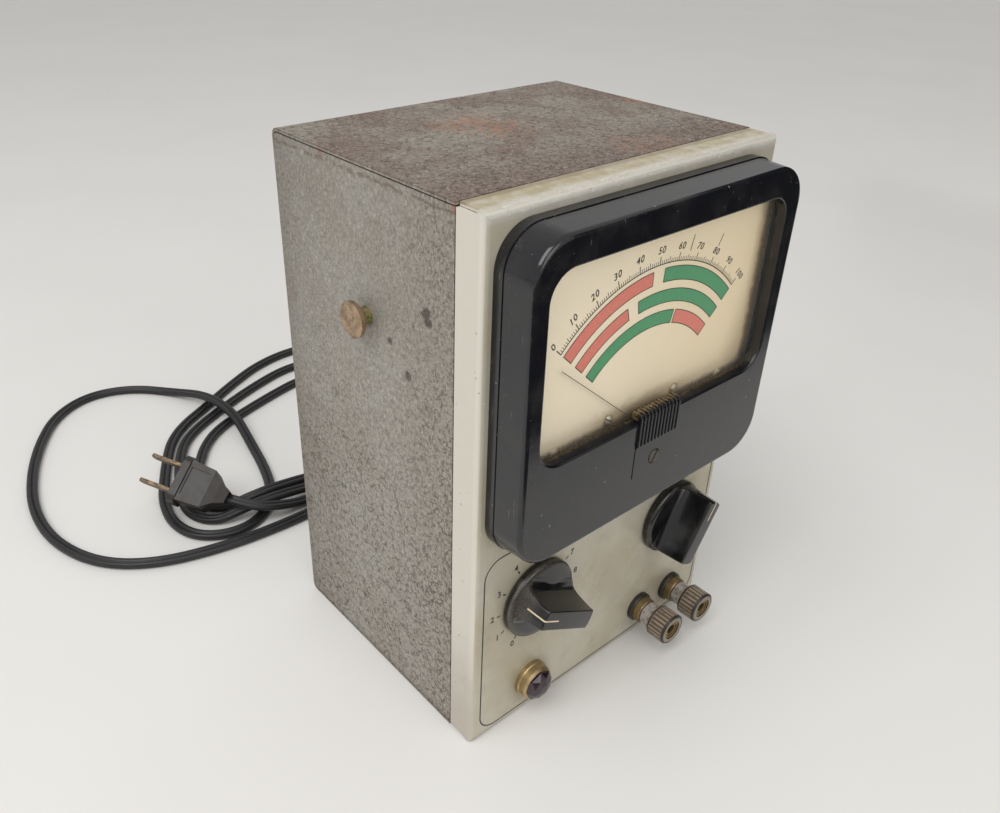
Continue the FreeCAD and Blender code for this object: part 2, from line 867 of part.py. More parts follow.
def make_moving_pieces():
    """Makes the coil and needle that swing together, drawn needle up and turned to rest."""
    front = cell("movement_front")
    rear = cell("movement_back")
    rest = Rotation(Vector(0, -1, 0), SIZES["rest_angle"])
    coil_front = front - 0.9
    coil_back = rear - 0.7
    body = new_body("moving_coil")
    page = sketch(body, "XY_Plane")
    outer = cell("pole_inner") - 0.6
    inner = cell("core_radius") + 0.5
    rectangle(page, -outer, coil_front, outer, coil_back)
    rectangle(page, -inner, coil_front + 1.2, inner, coil_back - 1.2)
    pad(body, page, 2.8, symmetric=True)
    page = sketch(body, "XZ_Plane", -coil_front)
    circle(page, 0, 0, cell("staff_radius"))
    pad(body, page, coil_front + 10.2)
    page = sketch(body, "XZ_Plane", -coil_back)
    circle(page, 0, 0, cell("staff_radius"))
    pad(body, page, 1.7, back=True)
    place(body, 0, face, pivot, rest)
    bind(body, "Placement.Rotation.Angle", cell("rest_angle"))
    node(body)
    body = new_body("pointer")
    page = sketch(body, "XZ_Plane", 8.1)
    loop(page, [(-0.5, 1.0), (-0.28, cell("needle_reach")), (0.28, cell("needle_reach")), (0.5, 1.0),
                (0.5, -5), (1.6, -5), (1.6, -8), (-1.6, -8), (-1.6, -5), (-0.5, -5)])
    pad(body, page, 0.4)
    page = sketch(body, "XZ_Plane", 7.9)
    circle(page, 0, 0, 2.2)
    pad(body, page, 0.7)
    page = sketch(body, "XZ_Plane", 9)
    circle(page, 0, 0, cell("staff_radius"))
    pocket(body, page, 2.0)
    place(body, 0, face, pivot, rest)
    bind(body, "Placement.Rotation.Angle", cell("rest_angle"))
    node(body)


def make_zero_adjuster():
    """Makes the slotted zero screw with its offset pin, and the slotted arm it moves."""
    body = new_body("zero_screw")
    crown = cell("patch_proud") - cell("zero_recess")
    page = sketch(body, "XZ_Plane", meter_front - 0.75)
    circle(page, 0, zero, cell("zero_head"))
    pad(body, page, crown + 0.75)
    page = sketch(body, "XZ_Plane", meter_front - 0.75)
    circle(page, 0, zero, cell("zero_shank"))
    pad(body, page, meter_front - 0.75 - 10.2, back=True)
    page = sketch(body, "XZ_Plane", 10.2)
    circle(page, 0, zero + cell("zero_offset"), cell("zero_pin"))
    pad(body, page, 1.25, back=True)
    page = sketch(body, "XZ_Plane", meter_front + crown)
    rectangle(page, -3, zero - 0.35, 3, zero + 0.35)
    pocket(body, page, 0.6)
    place(body, 0, face, 0)
    node(body)
    body = new_body("zero_arm")
    page = sketch(body, "XZ_Plane", 9.1)
    circle(page, 0, pivot, 2.2)
    pad(body, page, 0.4)
    page = sketch(body, "XZ_Plane", 9.1)
    rectangle(page, -1.7, zero - 0.9, 1.7, pivot)
    pad(body, page, 0.4)
    pin = zero + cell("zero_offset")
    slot = cell("zero_pin") + 0.08
    page = sketch(body, "XZ_Plane", 10)
    circle(page, 0, pivot, cell("staff_radius") + cell("pivot_slack"))
    rectangle(page, -slot, pin - 1.3, slot, pin + 1.0)
    pocket(body, page, 1.5)
    place(body, 0, face, 0)
    node(body)


def make_meter_fixings():
    """Makes the mounting studs, the rear terminals and all small hexagon nuts."""
    studs = []
    nuts = []
    for side in (-1, 1):
        for level in stud_levels:
            number = len(studs) + 1
            x = side * cell("meter_stud_spread")
            studs.append(rod(f"meter_stud_{number}", cell("meter_stud_radius"), 0, 8, x, face, level))
            nuts.append(hex_nut(f"meter_nut_{number}", 4.4, cell("meter_stud_radius"), 3.0,
                                x, face + panel_gauge, level))
    for number, x in enumerate(post_xs, 1):
        seat = face + panel_gauge + 1
        nuts.append(hex_nut(f"post_nut_{number}", 4.4, cell("post_thread"), 3.0, x, seat, post_z))
    node(group("meter_studs", studs))
    node(group("stud_nuts", nuts))
    deep = cell("barrel_depth")
    terminals = []
    for number, side in enumerate((-1, 1), 1):
        shoulder = deep + 2.4
        tip = deep + 9
        outline = [(0, deep), (4.6, deep), (4.6, shoulder), (2.4, shoulder), (2.4, tip), (0, tip)]
        x = side * cell("terminal_spread")
        terminals.append(turned(f"meter_terminal_{number}", outline, x, face, barrel_z))
    node(group("meter_terminals", terminals))


# Controls
def make_knob(label, x, rest):
    """Turns a skirted knob and scoops its sides to leave a bar, pointing along its rest angle."""
    high = cell("knob_height")
    shaft = cell("shaft_radius")
    skirt = cell("skirt_radius")
    outline = [
        (0, 2.5 - high),
        (shaft, 2.5 - high),
        (shaft, -7.0),
        (5.4, -7.0),
        (5.4, -3.6),
        (8.6, -3.6),
        (8.6, -0.8),
        (skirt, -0.8),
        (skirt, -2.1),
        (skirt - 0.4, -2.5),
        (cell("knob_low_radius"), -2.8),
        (cell("knob_top_radius") + 0.1, 0.5 - high),
        (cell("knob_top_radius") - 0.4, -high),
        (0, -high),
    ]
    pose = Rotation(Vector(0, -1, 0), SIZES[rest])
    body = turned(label, outline, x, face, control, "Y", pose)
    page = sketch(body, "YZ_Plane")
    reach = cell("bar_width") / 2 + cell("scoop_radius")
    for side in (-1, 1):
        circle(page, -high, side * reach, cell("scoop_radius"))
    pocket(body, page, skirt * 4, symmetric=True)
    bind(body, "Placement.Rotation.Angle", cell(rest))
    return node(body)


def make_calibration_control():
    """Makes the variable resistor behind the left knob."""
    bore = cell("shaft_radius") + cell("shaft_slack")
    bushing = cell("bushing_radius")
    can = cell("pot_radius")
    seat = panel_gauge + cell("chassis_gauge")
    front = -cell("bushing_reach")
    spot = (calibration_x, face, control)
    make_knob("calibration_knob", calibration_x, "calibration_rest")
    node(rod("calibration_shaft", cell("shaft_radius"), 2.5 - cell("knob_height"), 10, *spot))
    rim = seat + 1.2
    outline = [(bore, front), (bushing, front), (bushing, seat), (can, seat), (can, rim), (bore, rim)]
    node(turned("pot_bushing", outline, *spot))
    wall = can - 0.8
    floor = rim + 11.2
    end = rim + 12
    outline = [(wall, rim), (can, rim), (can, end), (0, end), (0, floor), (wall, floor)]
    cup = turned("pot_cup", outline, *spot)
    slot = block("pot_slot", calibration_x - 8, face + rim, control - can - 2,
                 calibration_x + 8, face + rim + 1.8, control - 8)
    node(less("pot_case", cup, slot))
    body = new_body("pot_track")
    page = sketch(body, "XZ_Plane", -rim - 1.2)
    circle(page, 0, 0, can - 1.1)
    circle(page, 0, 0, 6.8)
    pad(body, page, 1.2)
    page = sketch(body, "XZ_Plane", -rim - 1.2)
    for step in (-5.5, 0, 5.5):
        rectangle(page, sized(step) - 1, -can - 5, sized(step) + 1, -8.0)
    pad(body, page, 0.8)
    place(body, *spot)
    node(body)
    body = new_body("pot_wiper")
    page = sketch(body, "XZ_Plane", -rim - 3.5)
    circle(page, 0, 0, 5.4)
    pad(body, page, 1.6)
    page = sketch(body, "XZ_Plane", -rim - 2.3)
    rectangle(page, -1.2, 0, 1.2, 9.6)
    pad(body, page, 0.5)
    page = sketch(body, "XZ_Plane", -rim - 1)
    circle(page, 0, 0, cell("shaft_radius"))
    pocket(body, page, 4.0)
    place(body, *spot, Rotation(Vector(0, -1, 0), 60))
    node(body)


def make_selector():
    """Makes the rotary switch behind the right knob."""
    bore = cell("shaft_radius") + cell("shaft_slack")
    bushing = cell("bushing_radius")
    seat = panel_gauge + cell("chassis_gauge")
    front = -cell("bushing_reach")
    spot = (selector_x, face, control)
    wafer = seat + 15
    make_knob("selector_knob", selector_x, "selector_rest")
    body = new_body("selector_shaft")
    page = sketch(body, "XZ_Plane", cell("knob_height") - 2.5)
    circle(page, 0, 0, cell("shaft_radius"))
    pad(body, page, cell("knob_height") - 2.5 + 10, back=True)
    page = sketch(body, "XZ_Plane", -9.0)
    rectangle(page, -2.4, -1, 2.4, 1)
    pad(body, page, wafer - 9 + 4, back=True)
    place(body, *spot)
    node(body)
    body = new_body("selector_bushing")
    page = sketch(body, "XZ_Plane", -seat)
    rectangle(page, -17, -13, 17, 13)
    pad(body, page, 1.5, back=True)
    page = sketch(body, "XZ_Plane", -seat)
    circle(page, 0, 0, bushing)
    pad(body, page, seat - front)
    page = sketch(body, "XZ_Plane", -front + 1)
    circle(page, 0, 0, bore)
    pocket(body, page, seat - front + 4)
    place(body, *spot)
    node(body)
    body = new_body("wafer_stator")
    page = sketch(body, "XZ_Plane", -wafer)
    circle(page, 0, 0, 17)
    circle(page, 0, 0, 9.2)
    for side in (-1, 1):
        circle(page, side * 13.5, 0, 1.5)
    pad(body, page, 1.6, back=True)
    page = sketch(body, "XZ_Plane", -wafer)
    for step in (-7, 0, 7):
        rectangle(page, step - 1.1, 11, step + 1.1, 20.5)
        rectangle(page, step - 1.1, -20.5, step + 1.1, -11)
    pad(body, page, 0.5)
    place(body, *spot)
    node(body)
    body = new_body("wafer_rotor")
    page = sketch(body, "XZ_Plane", -wafer)
    circle(page, 0, 0, 8.8)
    rectangle(page, -2.4, -1, 2.4, 1)
    pad(body, page, 1.6, back=True)
    place(body, *spot)
    node(body)
    spacers = []
    for number, side in enumerate((-1, 1), 1):
        outline = [
            (0, seat + 1.5),
            (3, seat + 1.5),
            (3, wafer),
            (1.5, wafer),
            (1.5, wafer + 1.6),
            (3, wafer + 1.6),
            (3, wafer + 3.2),
            (0, wafer + 3.2),
        ]
        x = selector_x + side * 13.5
        spacers.append(turned(f"selector_spacer_{number}", outline, x, face, control))
    node(group("selector_spacers", spacers))
    nuts = []
    for number, x in enumerate((calibration_x, selector_x), 1):
        thick = cell("nut_thick")
        seat = face - thick
        nuts.append(hex_nut(f"control_nut_{number}", cell("control_nut"), bushing, thick, x, seat, control))
    node(group("control_nuts", nuts))


# Pilot lamp
def make_lamp():
    """Makes the lamp bezel, the faceted jewel, the socket on its bracket and the bulb."""
    spot = (cell("lamp_offset"), face, cell("lamp_height"))
    bezel = cell("bezel_radius")
    reach = cell("bezel_reach")
    jewel = cell("jewel_radius")
    barrel = cell("lamp_barrel")
    outline = [
        (jewel - 0.7, 9),
        (barrel, 9),
        (barrel, 0),
        (bezel, 0),
        (bezel, -1.4),
        (bezel - 0.4, -1.8),
        (bezel - 0.4, -reach + 1.0),
        (bezel - 1.0, -reach),
        (jewel, -reach),
        (jewel, -reach + 2.2),
        (jewel - 0.7, -reach + 2.2),
    ]
    node(turned("lamp_bezel", outline, *spot))
    sections = []
    for number, inset in enumerate((2.2, 0.2), 1):
        wire = doc.addObject("Part::RegularPolygon", f"jewel_ring_{number}")
        wire.Polygon = 8
        bind(wire, "Circumradius", jewel)
        place(wire, spot[0], face - reach + inset, spot[2], Rotation(Vector(1, 0, 0), 90))
        sections.append(wire)
    wire = doc.addObject("Part::RegularPolygon", "jewel_table")
    wire.Polygon = 8
    bind(wire, "Circumradius", jewel * 0.42)
    place(wire, spot[0], face - cell("jewel_reach"), spot[2], Rotation(Vector(1, 0, 0), 90))
    sections.append(wire)
    gem = doc.addObject("Part::Loft", "lamp_jewel")
    gem.Label = "lamp_jewel"
    gem.Sections = sections
    gem.Solid = True
    gem.Ruled = True
    node(gem)
    shell = ring("lamp_shell", 6.6, 5.0, 24, 36, *spot)
    roof = spot[2] + barrel
    arm = block("lamp_arm", spot[0] - 3, face + 2, roof, spot[0] + 3, face + 36, roof + 1)
    node(joined("lamp_socket", [shell, arm]))
    outline = [
        (0, 9.5),
        (2.6, 10),
        (4.2, 11.4),
        (5.0, 13.5),
        (5.0, 19),
        (4.6, 21),
        (4.6, 34),
        (2, 35),
        (0, 35),
    ]
    node(turned("lamp_bulb", outline, *spot))


# Binding posts
def make_posts():
    """Makes both binding posts: washers, hollow studs, brass inserts and fluted caps."""
    washers = []
    studs = []
    rear = panel_gauge + 1
    stud = cell("post_stud")
    thread = cell("post_thread")
    bore = cell("post_bore")
    reach = cell("post_reach")
    insert = cell("insert_radius")
    slack = cell("post_slack")
    washer = cell("post_washer")
    collar = cell("post_collar")
    for number, x in enumerate(post_xs, 1):
        outline = [(thread, -2.0), (washer - 0.4, -2.0), (washer, -1.6), (washer, 0), (thread, 0)]
        washers.append(turned(f"post_washer_{number}", outline, x, face, post_z))
        washers.append(ring(f"post_backing_{number}", washer, thread, panel_gauge, rear, x, face, post_z))
        outline = [
            (0, 9),
            (thread, 9),
            (thread, -2.0),
            (collar, -2.0),
            (collar, -4.6),
            (collar - 0.4, -5.0),
            (stud, -5.0),
            (stud, 0.8 - reach),
            (bore, 0.8 - reach),
            (bore, -5.2),
            (0, -5.2),
        ]
        studs.append(turned(f"post_stud_{number}", outline, x, face, post_z))
    node(group("post_washers", washers))
    node(group("post_studs", studs))
    for side, x in zip(("left", "right"), post_xs):
        lip = stud + slack
        node(ring(f"post_{side}_insert", insert, lip, -10.4, 0.4 - reach, x, face, post_z))
        cap = cell("post_cap")
        neck = cell("post_neck")
        outline = [
            (lip + 0.3, -5.3),
            (neck, -5.3),
            (neck, -10),
            (cap - 0.4, -10),
            (cap, -10.4),
            (cap, 0.5 - reach),
            (cap - 0.5, -reach),
            (insert + slack, -reach),
            (insert + slack, -10.3),
            (lip + 0.3, -10.3),
        ]
        body = turned(f"post_{side}_cap", outline, x, face, post_z)
        page = sketch(body, "XZ_Plane", reach - 1.0)
        circle(page, 0, cap + 0.15, cell("flute_radius"))
        flute = pocket(body, page, reach - 12.0)
        flutes = body.newObject("PartDesign::PolarPattern", f"{side}_flutes")
        flutes.Originals = [flute]
        flutes.Axis = (origin_feature(body, "Y_Axis"), [""])
        flutes.Angle = 360
        bind(flutes, "Occurrences", cell("flute_count"))
        body.Tip = flutes
        node(body)


# Chassis and what it carries
def make_chassis():
    """Folds the shelf that the controls clamp to the panel, and fills it."""
    gap = cell("chassis_gauge")
    shelf = cell("chassis_height")
    deck = shelf + gap
    wide = cell("chassis_width") / 2
    front = face + panel_gauge
    rear = back - gauge
    body = new_body("chassis")
    page = sketch(body, "YZ_Plane")
    loop(page, [
        (front, shelf - cell("chassis_drop")),
        (front, deck),
        (rear, deck),
        (rear, shelf - 18),
        (rear - gap, shelf - 18),
        (rear - gap, shelf),
        (front + gap, shelf),
        (front + gap, shelf - cell("chassis_drop")),
    ])
    pad(body, page, cell("chassis_width"), symmetric=True)
    page = sketch(body, "XZ_Plane", -front)
    for x in (calibration_x, selector_x):
        circle(page, x, control, cell("bushing_radius") + cell("hole_slack"))
    pocket(body, page, gap)
    page = sketch(body, "XZ_Plane", gap - rear)
    for side in (-1, 1):
        circle(page, side * cell("case_screw_spread") / 2, screw_level, 1.7)
    pocket(body, page, gap)
    page = sketch(body, "XY_Plane", deck)
    circle(page, tube_x, tube_y, cell("tube_radius") + 0.2)
    pocket(body, page, gap)
    place(body)
    node(body)
    return deck


def make_power_pieces(deck):
    """Makes the transformer, tube, capacitor, rectifier and terminal strip."""
    rear = back - gauge
    wide = cell("transformer_width")
    tall = cell("transformer_height")
    stack = cell("transformer_stack")
    slack = cell("coil_slack")
    leg = wide / 6
    spot = (cell("chassis_width") / 4 - 0.5, rear - cell("transformer_inset"), deck)
    body = new_body("transformer_core")
    page = sketch(body, "XZ_Plane", stack / 2)
    rectangle(page, -wide / 2, 0, wide / 2, tall)
    for side in (-1, 1):
        rectangle(page, side * leg, leg, side * leg * 2, tall - leg)
    pad(body, page, stack, back=True)
    place(body, *spot)
    node(body)
    body = new_body("transformer_coil")
    page = sketch(body, "XY_Plane", leg + slack)
    deep = stack / 2 + slack + cell("coil_wall")
    rectangle(page, slack - leg * 2, -deep, leg * 2 - slack, deep)
    deep = stack / 2 + slack
    rectangle(page, -leg - slack, -deep, leg + slack, deep)
    pad(body, page, tall - leg * 2 - slack * 2)
    place(body, *spot)
    node(body)
    bulb = cell("tube_radius")
    flange = cell("socket_flange")
    outline = [
        (0, -6),
        (bulb, -6),
        (bulb, 0),
        (flange, 0),
        (flange, 1.4),
        (bulb - 0.2, 1.4),
        (bulb - 0.2, 4),
        (0, 4),
    ]
    node(turned("tube_socket", outline, tube_x, tube_y, deck, "Z"))
    crown = cell("tube_height") + 4
    outline = [
        (0, 4),
        (bulb - 0.8, 4),
        (bulb, 5.4),
        (bulb, crown - 9),
        (bulb - 1.6, crown - 5.5),
        (bulb - 6, crown - 3.5),
        (1.2, crown - 2.8),
        (0.5, crown),
        (0, crown),
    ]
    node(turned("oscillator_tube", outline, tube_x, tube_y, deck, "Z"))
    can = cell("can_radius")
    lid = cell("can_height")
    outline = [(0, 0), (can, 0), (can, lid - 1), (can - 1, lid), (0, lid)]
    node(turned("filter_capacitor", outline, tube_x, can_y, deck, "Z"))
    plate = cell("rectifier_plate")
    pitch = cell("rectifier_pitch")
    middle = cell("rectifier_offset")
    bolt = new_body("rectifier_bolt")
    page = sketch(bolt, "YZ_Plane")
    circle(page, 0, 0, 2.4)
    pad(bolt, page, pitch * 4, symmetric=True)
    place(bolt, middle, can_y, deck + plate / 2)
    plates = [bolt]
    for number in range(4):
        left = middle + pitch * (number - 1.5) - 0.5
        label = f"rectifier_plate_{number + 1}"
        plates.append(block(label, left, can_y - plate / 2, deck, left + 1, can_y + plate / 2, deck + plate))
    node(joined("rectifier_stack", plates))
    shelf = cell("chassis_height")
    end = cell("strip_length") / 2
    board_y = rear - cell("strip_inset")
    board_top = shelf - cell("strip_drop")
    board_low = board_top - cell("strip_height")
    pieces = [block("strip_board", -end, board_y, board_low, end, board_y + 1.6, board_top)]
    for side in (-1, 1):
        foot = side * end * 0.7
        label = "strip_foot_left" if side < 0 else "strip_foot_right"
        pieces.append(block(label, foot - 3, board_y + 1.6, board_low + 4, foot + 3, board_y + 2.6, shelf))
    node(joined("terminal_strip", pieces))


# Line cord
def make_grommet():
    """Turns the rubber grommet with its tapered nose."""
    rim = cell("grommet_radius")
    nose = cell("cord_diameter") / 2 + 1.6
    reach = cell("grommet_reach")
    outline = [
        (0, -gauge - 2),
        (rim - 1.5, -gauge - 2),
        (rim - 1.0, -gauge),
        (6.0, -gauge),
        (6.0, 0),
        (rim, 0),
        (rim, 2.0),
        (rim - 1, 2.8),
        (nose + 1.4, 3.4),
        (nose, reach),
        (0, reach),
    ]
    node(turned("cord_grommet", outline, cell("cord_offset"), back, cell("cord_height")))


# Where the plug lies: middle of its cord end, then its heading, pitch and roll
PLUG_TAIL = Vector(-69.7, 117.4, 11.8)
PLUG_HEADING = 35.0
PLUG_PITCH = 13.0
PLUG_ROLL = -36.0

# Cord route on the floor, from the grommet to the plug
CORD_ROUTE = [
    (25, 86.5, 13.7),
    (18, 97, 9.5),
    (2, 99.5, 4),
    (-22, 96.5, 0),
    (-51, 95.5, 0),
    (-81, 98, 0),
    (-111, 106.5, 0),
    (-131, 123, 0),
    (-141, 149, 0),
    (-141, 178, 0),
    (-133, 207, 0),
    (-120, 235, 0),
    (-104, 258, 0),
    (-82, 269, 0),
    (-59, 262, 0),
    (-42, 243, 0),
    (-32, 219, 5.6),
    (-28.5, 192, 5.6),
    (-33, 164, 0),
    (-37.5, 143.5, 0),
    (-43.5, 125, 0),
    (-52.5, 111.5, 0),
    (-64.5, 104.5, 0),
    (-78, 105.5, 0),
    (-89.5, 114, 0),
    (-93.5, 129, 0),
    (-90, 147, 0),
    (-82, 164, 0),
    (-74, 179, 0),
    (-65, 194, 0),
    (-52, 206, 0),
    (-34, 216, 0),
    (-11, 230, 0),
    (13, 242, 0),
    (38, 246, 0),
    (63, 240, 0),
    (83, 223, 0),
    (92, 199, 0),
    (91, 172, 0),
    (83, 146, 0),
    (66, 126, 0),
    (42, 116, 0),
    (14, 111.5, 0),
    (-14, 110, 0),
    (-42, 110, 5.2),
    (-61, 112.5, 5.2),
    (-77, 117, 0),
    (-84.5, 129.5, 0),
    (-81.5, 146.5, 0),
    (-75, 162, 0),
    (-68.5, 175.5, 0),
    (-60, 189, 0),
    (-47, 199, 0),
    (-29, 208, 0),
    (-4, 219, 0),
    (25, 228, 0),
    (50, 223, 0),
    (69, 207, 0),
    (77, 184, 0),
    (74, 160, 0),
    (62, 139, 0),
    (42, 126, 0),
    (16, 119.5, 0),
    (-12, 117.5, 0),
    (-36, 116.5, 5.2),
    (-55, 118.5, 5.2),
    (-71, 123.5, 0),
    (-77, 136, 0),
    (-71.5, 151, 0),
    (-62.5, 165.5, 0),
    (-53, 179, 0),
    (-40, 190, 0),
    (-22, 197, 0),
    (0, 204, 0),
    (24, 210, 0),
    (44, 205, 0),
    (57, 190, 0),
    (61, 170, 0),
    (57, 150, 1.5),
    (49, 134, 5.5),
    (38, 118, 5.5),
    (23.5, 106.5, 5),
    (3, 103.5, 0),
    (-19, 103.5, 0),
    (-39, 104, 1.2),
    (-51.5, 103.5, 5.4),
    (-62.5, 107.5, 7.8),
]


def plug_pose():
    """Gives the turn that lays the plug on the cord."""
    heading = Rotation(Vector(0, 0, 1), PLUG_HEADING)
    pitch = Rotation(Vector(1, 0, 0), PLUG_PITCH)
    roll = Rotation(Vector(0, 1, 0), PLUG_ROLL)
    return heading.multiply(pitch).multiply(roll)


def route_points():
    """Gives the route in the shared frame, from the grommet's nose to just short of the plug."""
    low = SIZES["cord_diameter"] / 2 + SIZES["cord_lift"]
    exit_y = SIZES["case_depth"] / 2 + SIZES["grommet_reach"]
    start = Vector(SIZES["cord_offset"], exit_y, SIZES["cord_height"])
    finish = PLUG_TAIL - plug_pose().multVec(along_y) * 0.25
    return [start] + [Vector(x, y, low + z) for x, y, z in CORD_ROUTE] + [finish]


def make_cord():
    """Sweeps a round tube along straight runs joined by tangent arcs."""
    points = route_points()
    edges_made = []
    here = points[0]
    smallest = 1e9
    for before, corner, after in zip(points, points[1:], points[2:]):
        come = before - corner
        leave = after - corner
        setback = 0.45 * min(come.Length, leave.Length)
        come.normalize()
        leave.normalize()
        bend = math.pi - come.getAngle(leave)
        radius = setback / math.tan(bend / 2)
        smallest = min(smallest, radius)
        start = corner + come * setback
        finish = corner + leave * setback
        inward = come + leave
        inward.normalize()
        middle = corner + inward * (math.hypot(radius, setback) - radius)
        edges_made.append(Part.LineSegment(here, start).toShape())
        edges_made.append(Part.Arc(start, middle, finish).toShape())
        here = finish
    edges_made.append(Part.LineSegment(here, points[-1]).toShape())
    spine = Part.Wire(edges_made)
    heading = points[1] - points[0]
    section = Part.Wire([Part.Circle(points[0], heading, SIZES["cord_diameter"] / 2).toShape()])
    tube = spine.makePipeShell([section], True, False)
    thing = doc.addObject("Part::Feature", "line_cord")
    thing.Label = "line_cord"
    thing.Shape = tube
    area = math.pi * SIZES["cord_diameter"] ** 2 / 4
    print("cord length", round(spine.Length, 1), "smallest bend radius", round(smallest, 1))
    print("cord volume ratio", round(tube.Volume / (area * spine.Length), 4))
    node(thing)


def make_plug():
    """Lofts the moulded plug and adds its two blades, drawn along Y and then laid down."""
    pose = plug_pose()
    width = cell("plug_width") / 2
    thick = cell("plug_thick") / 2
    long = cell("plug_length")
    tail = cell("cord_diameter") / 2 + 0.9
    body = new_body("plug_body")
    page = sketch(body, "XZ_Plane", -long + 3.6)
    rounded_rectangle(page, -width, -thick, width, thick, 4.0)
    pad(body, page, 3.6, back=True)
    near = sketch(body, "XZ_Plane", -long + 3.6)
    rectangle(near, 1.6 - width, 0.9 - thick, width - 1.6, thick - 0.9)
    middle = sketch(body, "XZ_Plane", -long * 0.36)
    rectangle(middle, 2.4 - width, 1.1 - thick, width - 2.4, thick - 1.1)
    neck = sketch(body, "XZ_Plane", -long * 0.18)
    rectangle(neck, 6.4 - width, 2.2 - thick, width - 6.4, thick - 2.2)
    end = sketch(body, "XZ_Plane")
    rectangle(end, -tail, -tail, tail, tail)
    hull = body.newObject("PartDesign::AdditiveLoft", "plug_hull")
    hull.Profile = near
    hull.Sections = [middle, neck, end]
    hull.Ruled = True
    for side in (-1, 1):
        page = sketch(body, "XY_Plane", side * (thick - 0.9))
        rectangle(page, -6.8, long * 0.4, 6.8, long - 4.8)
        pocket(body, page, 1.2, symmetric=True)
    body.Placement = FreeCAD.Placement(PLUG_TAIL, pose)
    node(body)
    blades = []
    for number, side in enumerate((-1, 1), 1):
        blade = new_body(f"plug_blade_{number}")
        page = sketch(blade, "YZ_Plane", side * cell("blade_spacing") / 2)
        reach = long + cell("blade_length")
        tall = cell("blade_width") / 2
        loop(page, [(long, -tall), (reach - 1.4, -tall), (reach, -tall * 0.5), (reach, tall * 0.5),
                    (reach - 1.4, tall), (long, tall)])
        pad(blade, page, cell("blade_thick"), symmetric=True)
        blade.Placement = FreeCAD.Placement(PLUG_TAIL, pose)
        blades.append(blade)
    node(group("plug_blades", blades))


make_case_wrap()
make_side_panel("side_panel_left", -1)
make_side_panel("side_panel_right", 1)
make_front_panel()
make_strap_stud("strap_stud_left", -1)
make_strap_stud("strap_stud_right", 1)
make_case_screws()
make_meter_base()
make_meter_cover()
make_pivot_cover()
make_meter_front_pieces()
make_movement()
make_moving_pieces()
make_zero_adjuster()
make_meter_fixings()
make_calibration_control()
make_selector()
make_lamp()
make_posts()
make_power_pieces(make_chassis())
make_grommet()
make_cord()
make_plug()
doc.recompute()

faults = [thing.Label for thing in doc.Objects if "Invalid" in thing.State or "Error" in thing.State]
for thing in nodes:
    shape = thing.Shape
    if shape.isNull() or not shape.isValid() or not shape.Solids:
        faults.append(thing.Label)
if faults:
    raise RuntimeError("pieces that did not build: " + ", ".join(faults))

os.makedirs("parts", exist_ok=True)
for thing in nodes:
    thing.Shape.exportStep(f"parts/{thing.Label}.step")
    box = thing.Shape.BoundBox
    print(thing.Label, len(thing.Shape.Solids), [round(v, 2) for v in
          (box.XMin, box.XMax, box.YMin, box.YMax, box.ZMin, box.ZMax)], round(thing.Shape.Volume, 1))
print(len(nodes), "pieces written")
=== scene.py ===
"""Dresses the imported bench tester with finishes, printed scales and its mains lead."""

from __future__ import annotations

import json
import logging
import math
from dataclasses import dataclass, field
from enum import Enum
from functools import reduce
from operator import or_
from typing import Union

import bmesh
import bpy
from mathutils import Matrix, Vector


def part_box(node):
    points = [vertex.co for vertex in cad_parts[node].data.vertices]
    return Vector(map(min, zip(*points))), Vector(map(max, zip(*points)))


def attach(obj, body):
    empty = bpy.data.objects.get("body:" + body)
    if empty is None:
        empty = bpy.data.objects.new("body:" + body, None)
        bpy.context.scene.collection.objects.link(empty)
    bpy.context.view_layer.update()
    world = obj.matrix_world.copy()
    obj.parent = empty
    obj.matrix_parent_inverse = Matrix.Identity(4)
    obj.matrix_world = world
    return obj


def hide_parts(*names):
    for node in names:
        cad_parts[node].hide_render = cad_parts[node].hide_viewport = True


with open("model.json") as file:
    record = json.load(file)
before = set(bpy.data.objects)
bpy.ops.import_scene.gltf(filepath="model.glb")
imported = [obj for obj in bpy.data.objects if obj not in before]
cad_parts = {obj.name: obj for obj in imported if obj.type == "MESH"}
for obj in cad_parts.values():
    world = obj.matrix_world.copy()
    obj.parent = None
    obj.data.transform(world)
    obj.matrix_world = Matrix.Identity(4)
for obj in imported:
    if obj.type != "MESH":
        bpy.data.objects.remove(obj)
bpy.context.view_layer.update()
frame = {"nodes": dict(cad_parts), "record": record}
LOG = logging.getLogger("tester")
MM = 0.001
SEAM = 1e-4
WELD = 1e-5
PRINT_GAP = 0.01
ROUND_STEPS = 28
SPECK_STIR = 0.4
SPECK_PUSH = 0.12
SPOT_CORE = 0.55

Value = Union["Wire", float]
Colour = tuple[float, float, float, float]


def tone(red: int, green: int, blue: int) -> Colour:
    """Turns a screen colour into the linear colour that a shader takes.

    Args:
        red: Red level from 0 to 255.
        green: Green level from 0 to 255.
        blue: Blue level from 0 to 255.

    Returns:
        The linear colour with full alpha.
    """

    def linear(level: int) -> float:
        """One channel of the screen colour as linear light."""
        share = level / 255
        return share / 12.92 if share <= 0.04045 else ((share + 0.055) / 1.055) ** 2.4

    return (linear(red), linear(green), linear(blue), 1.0)


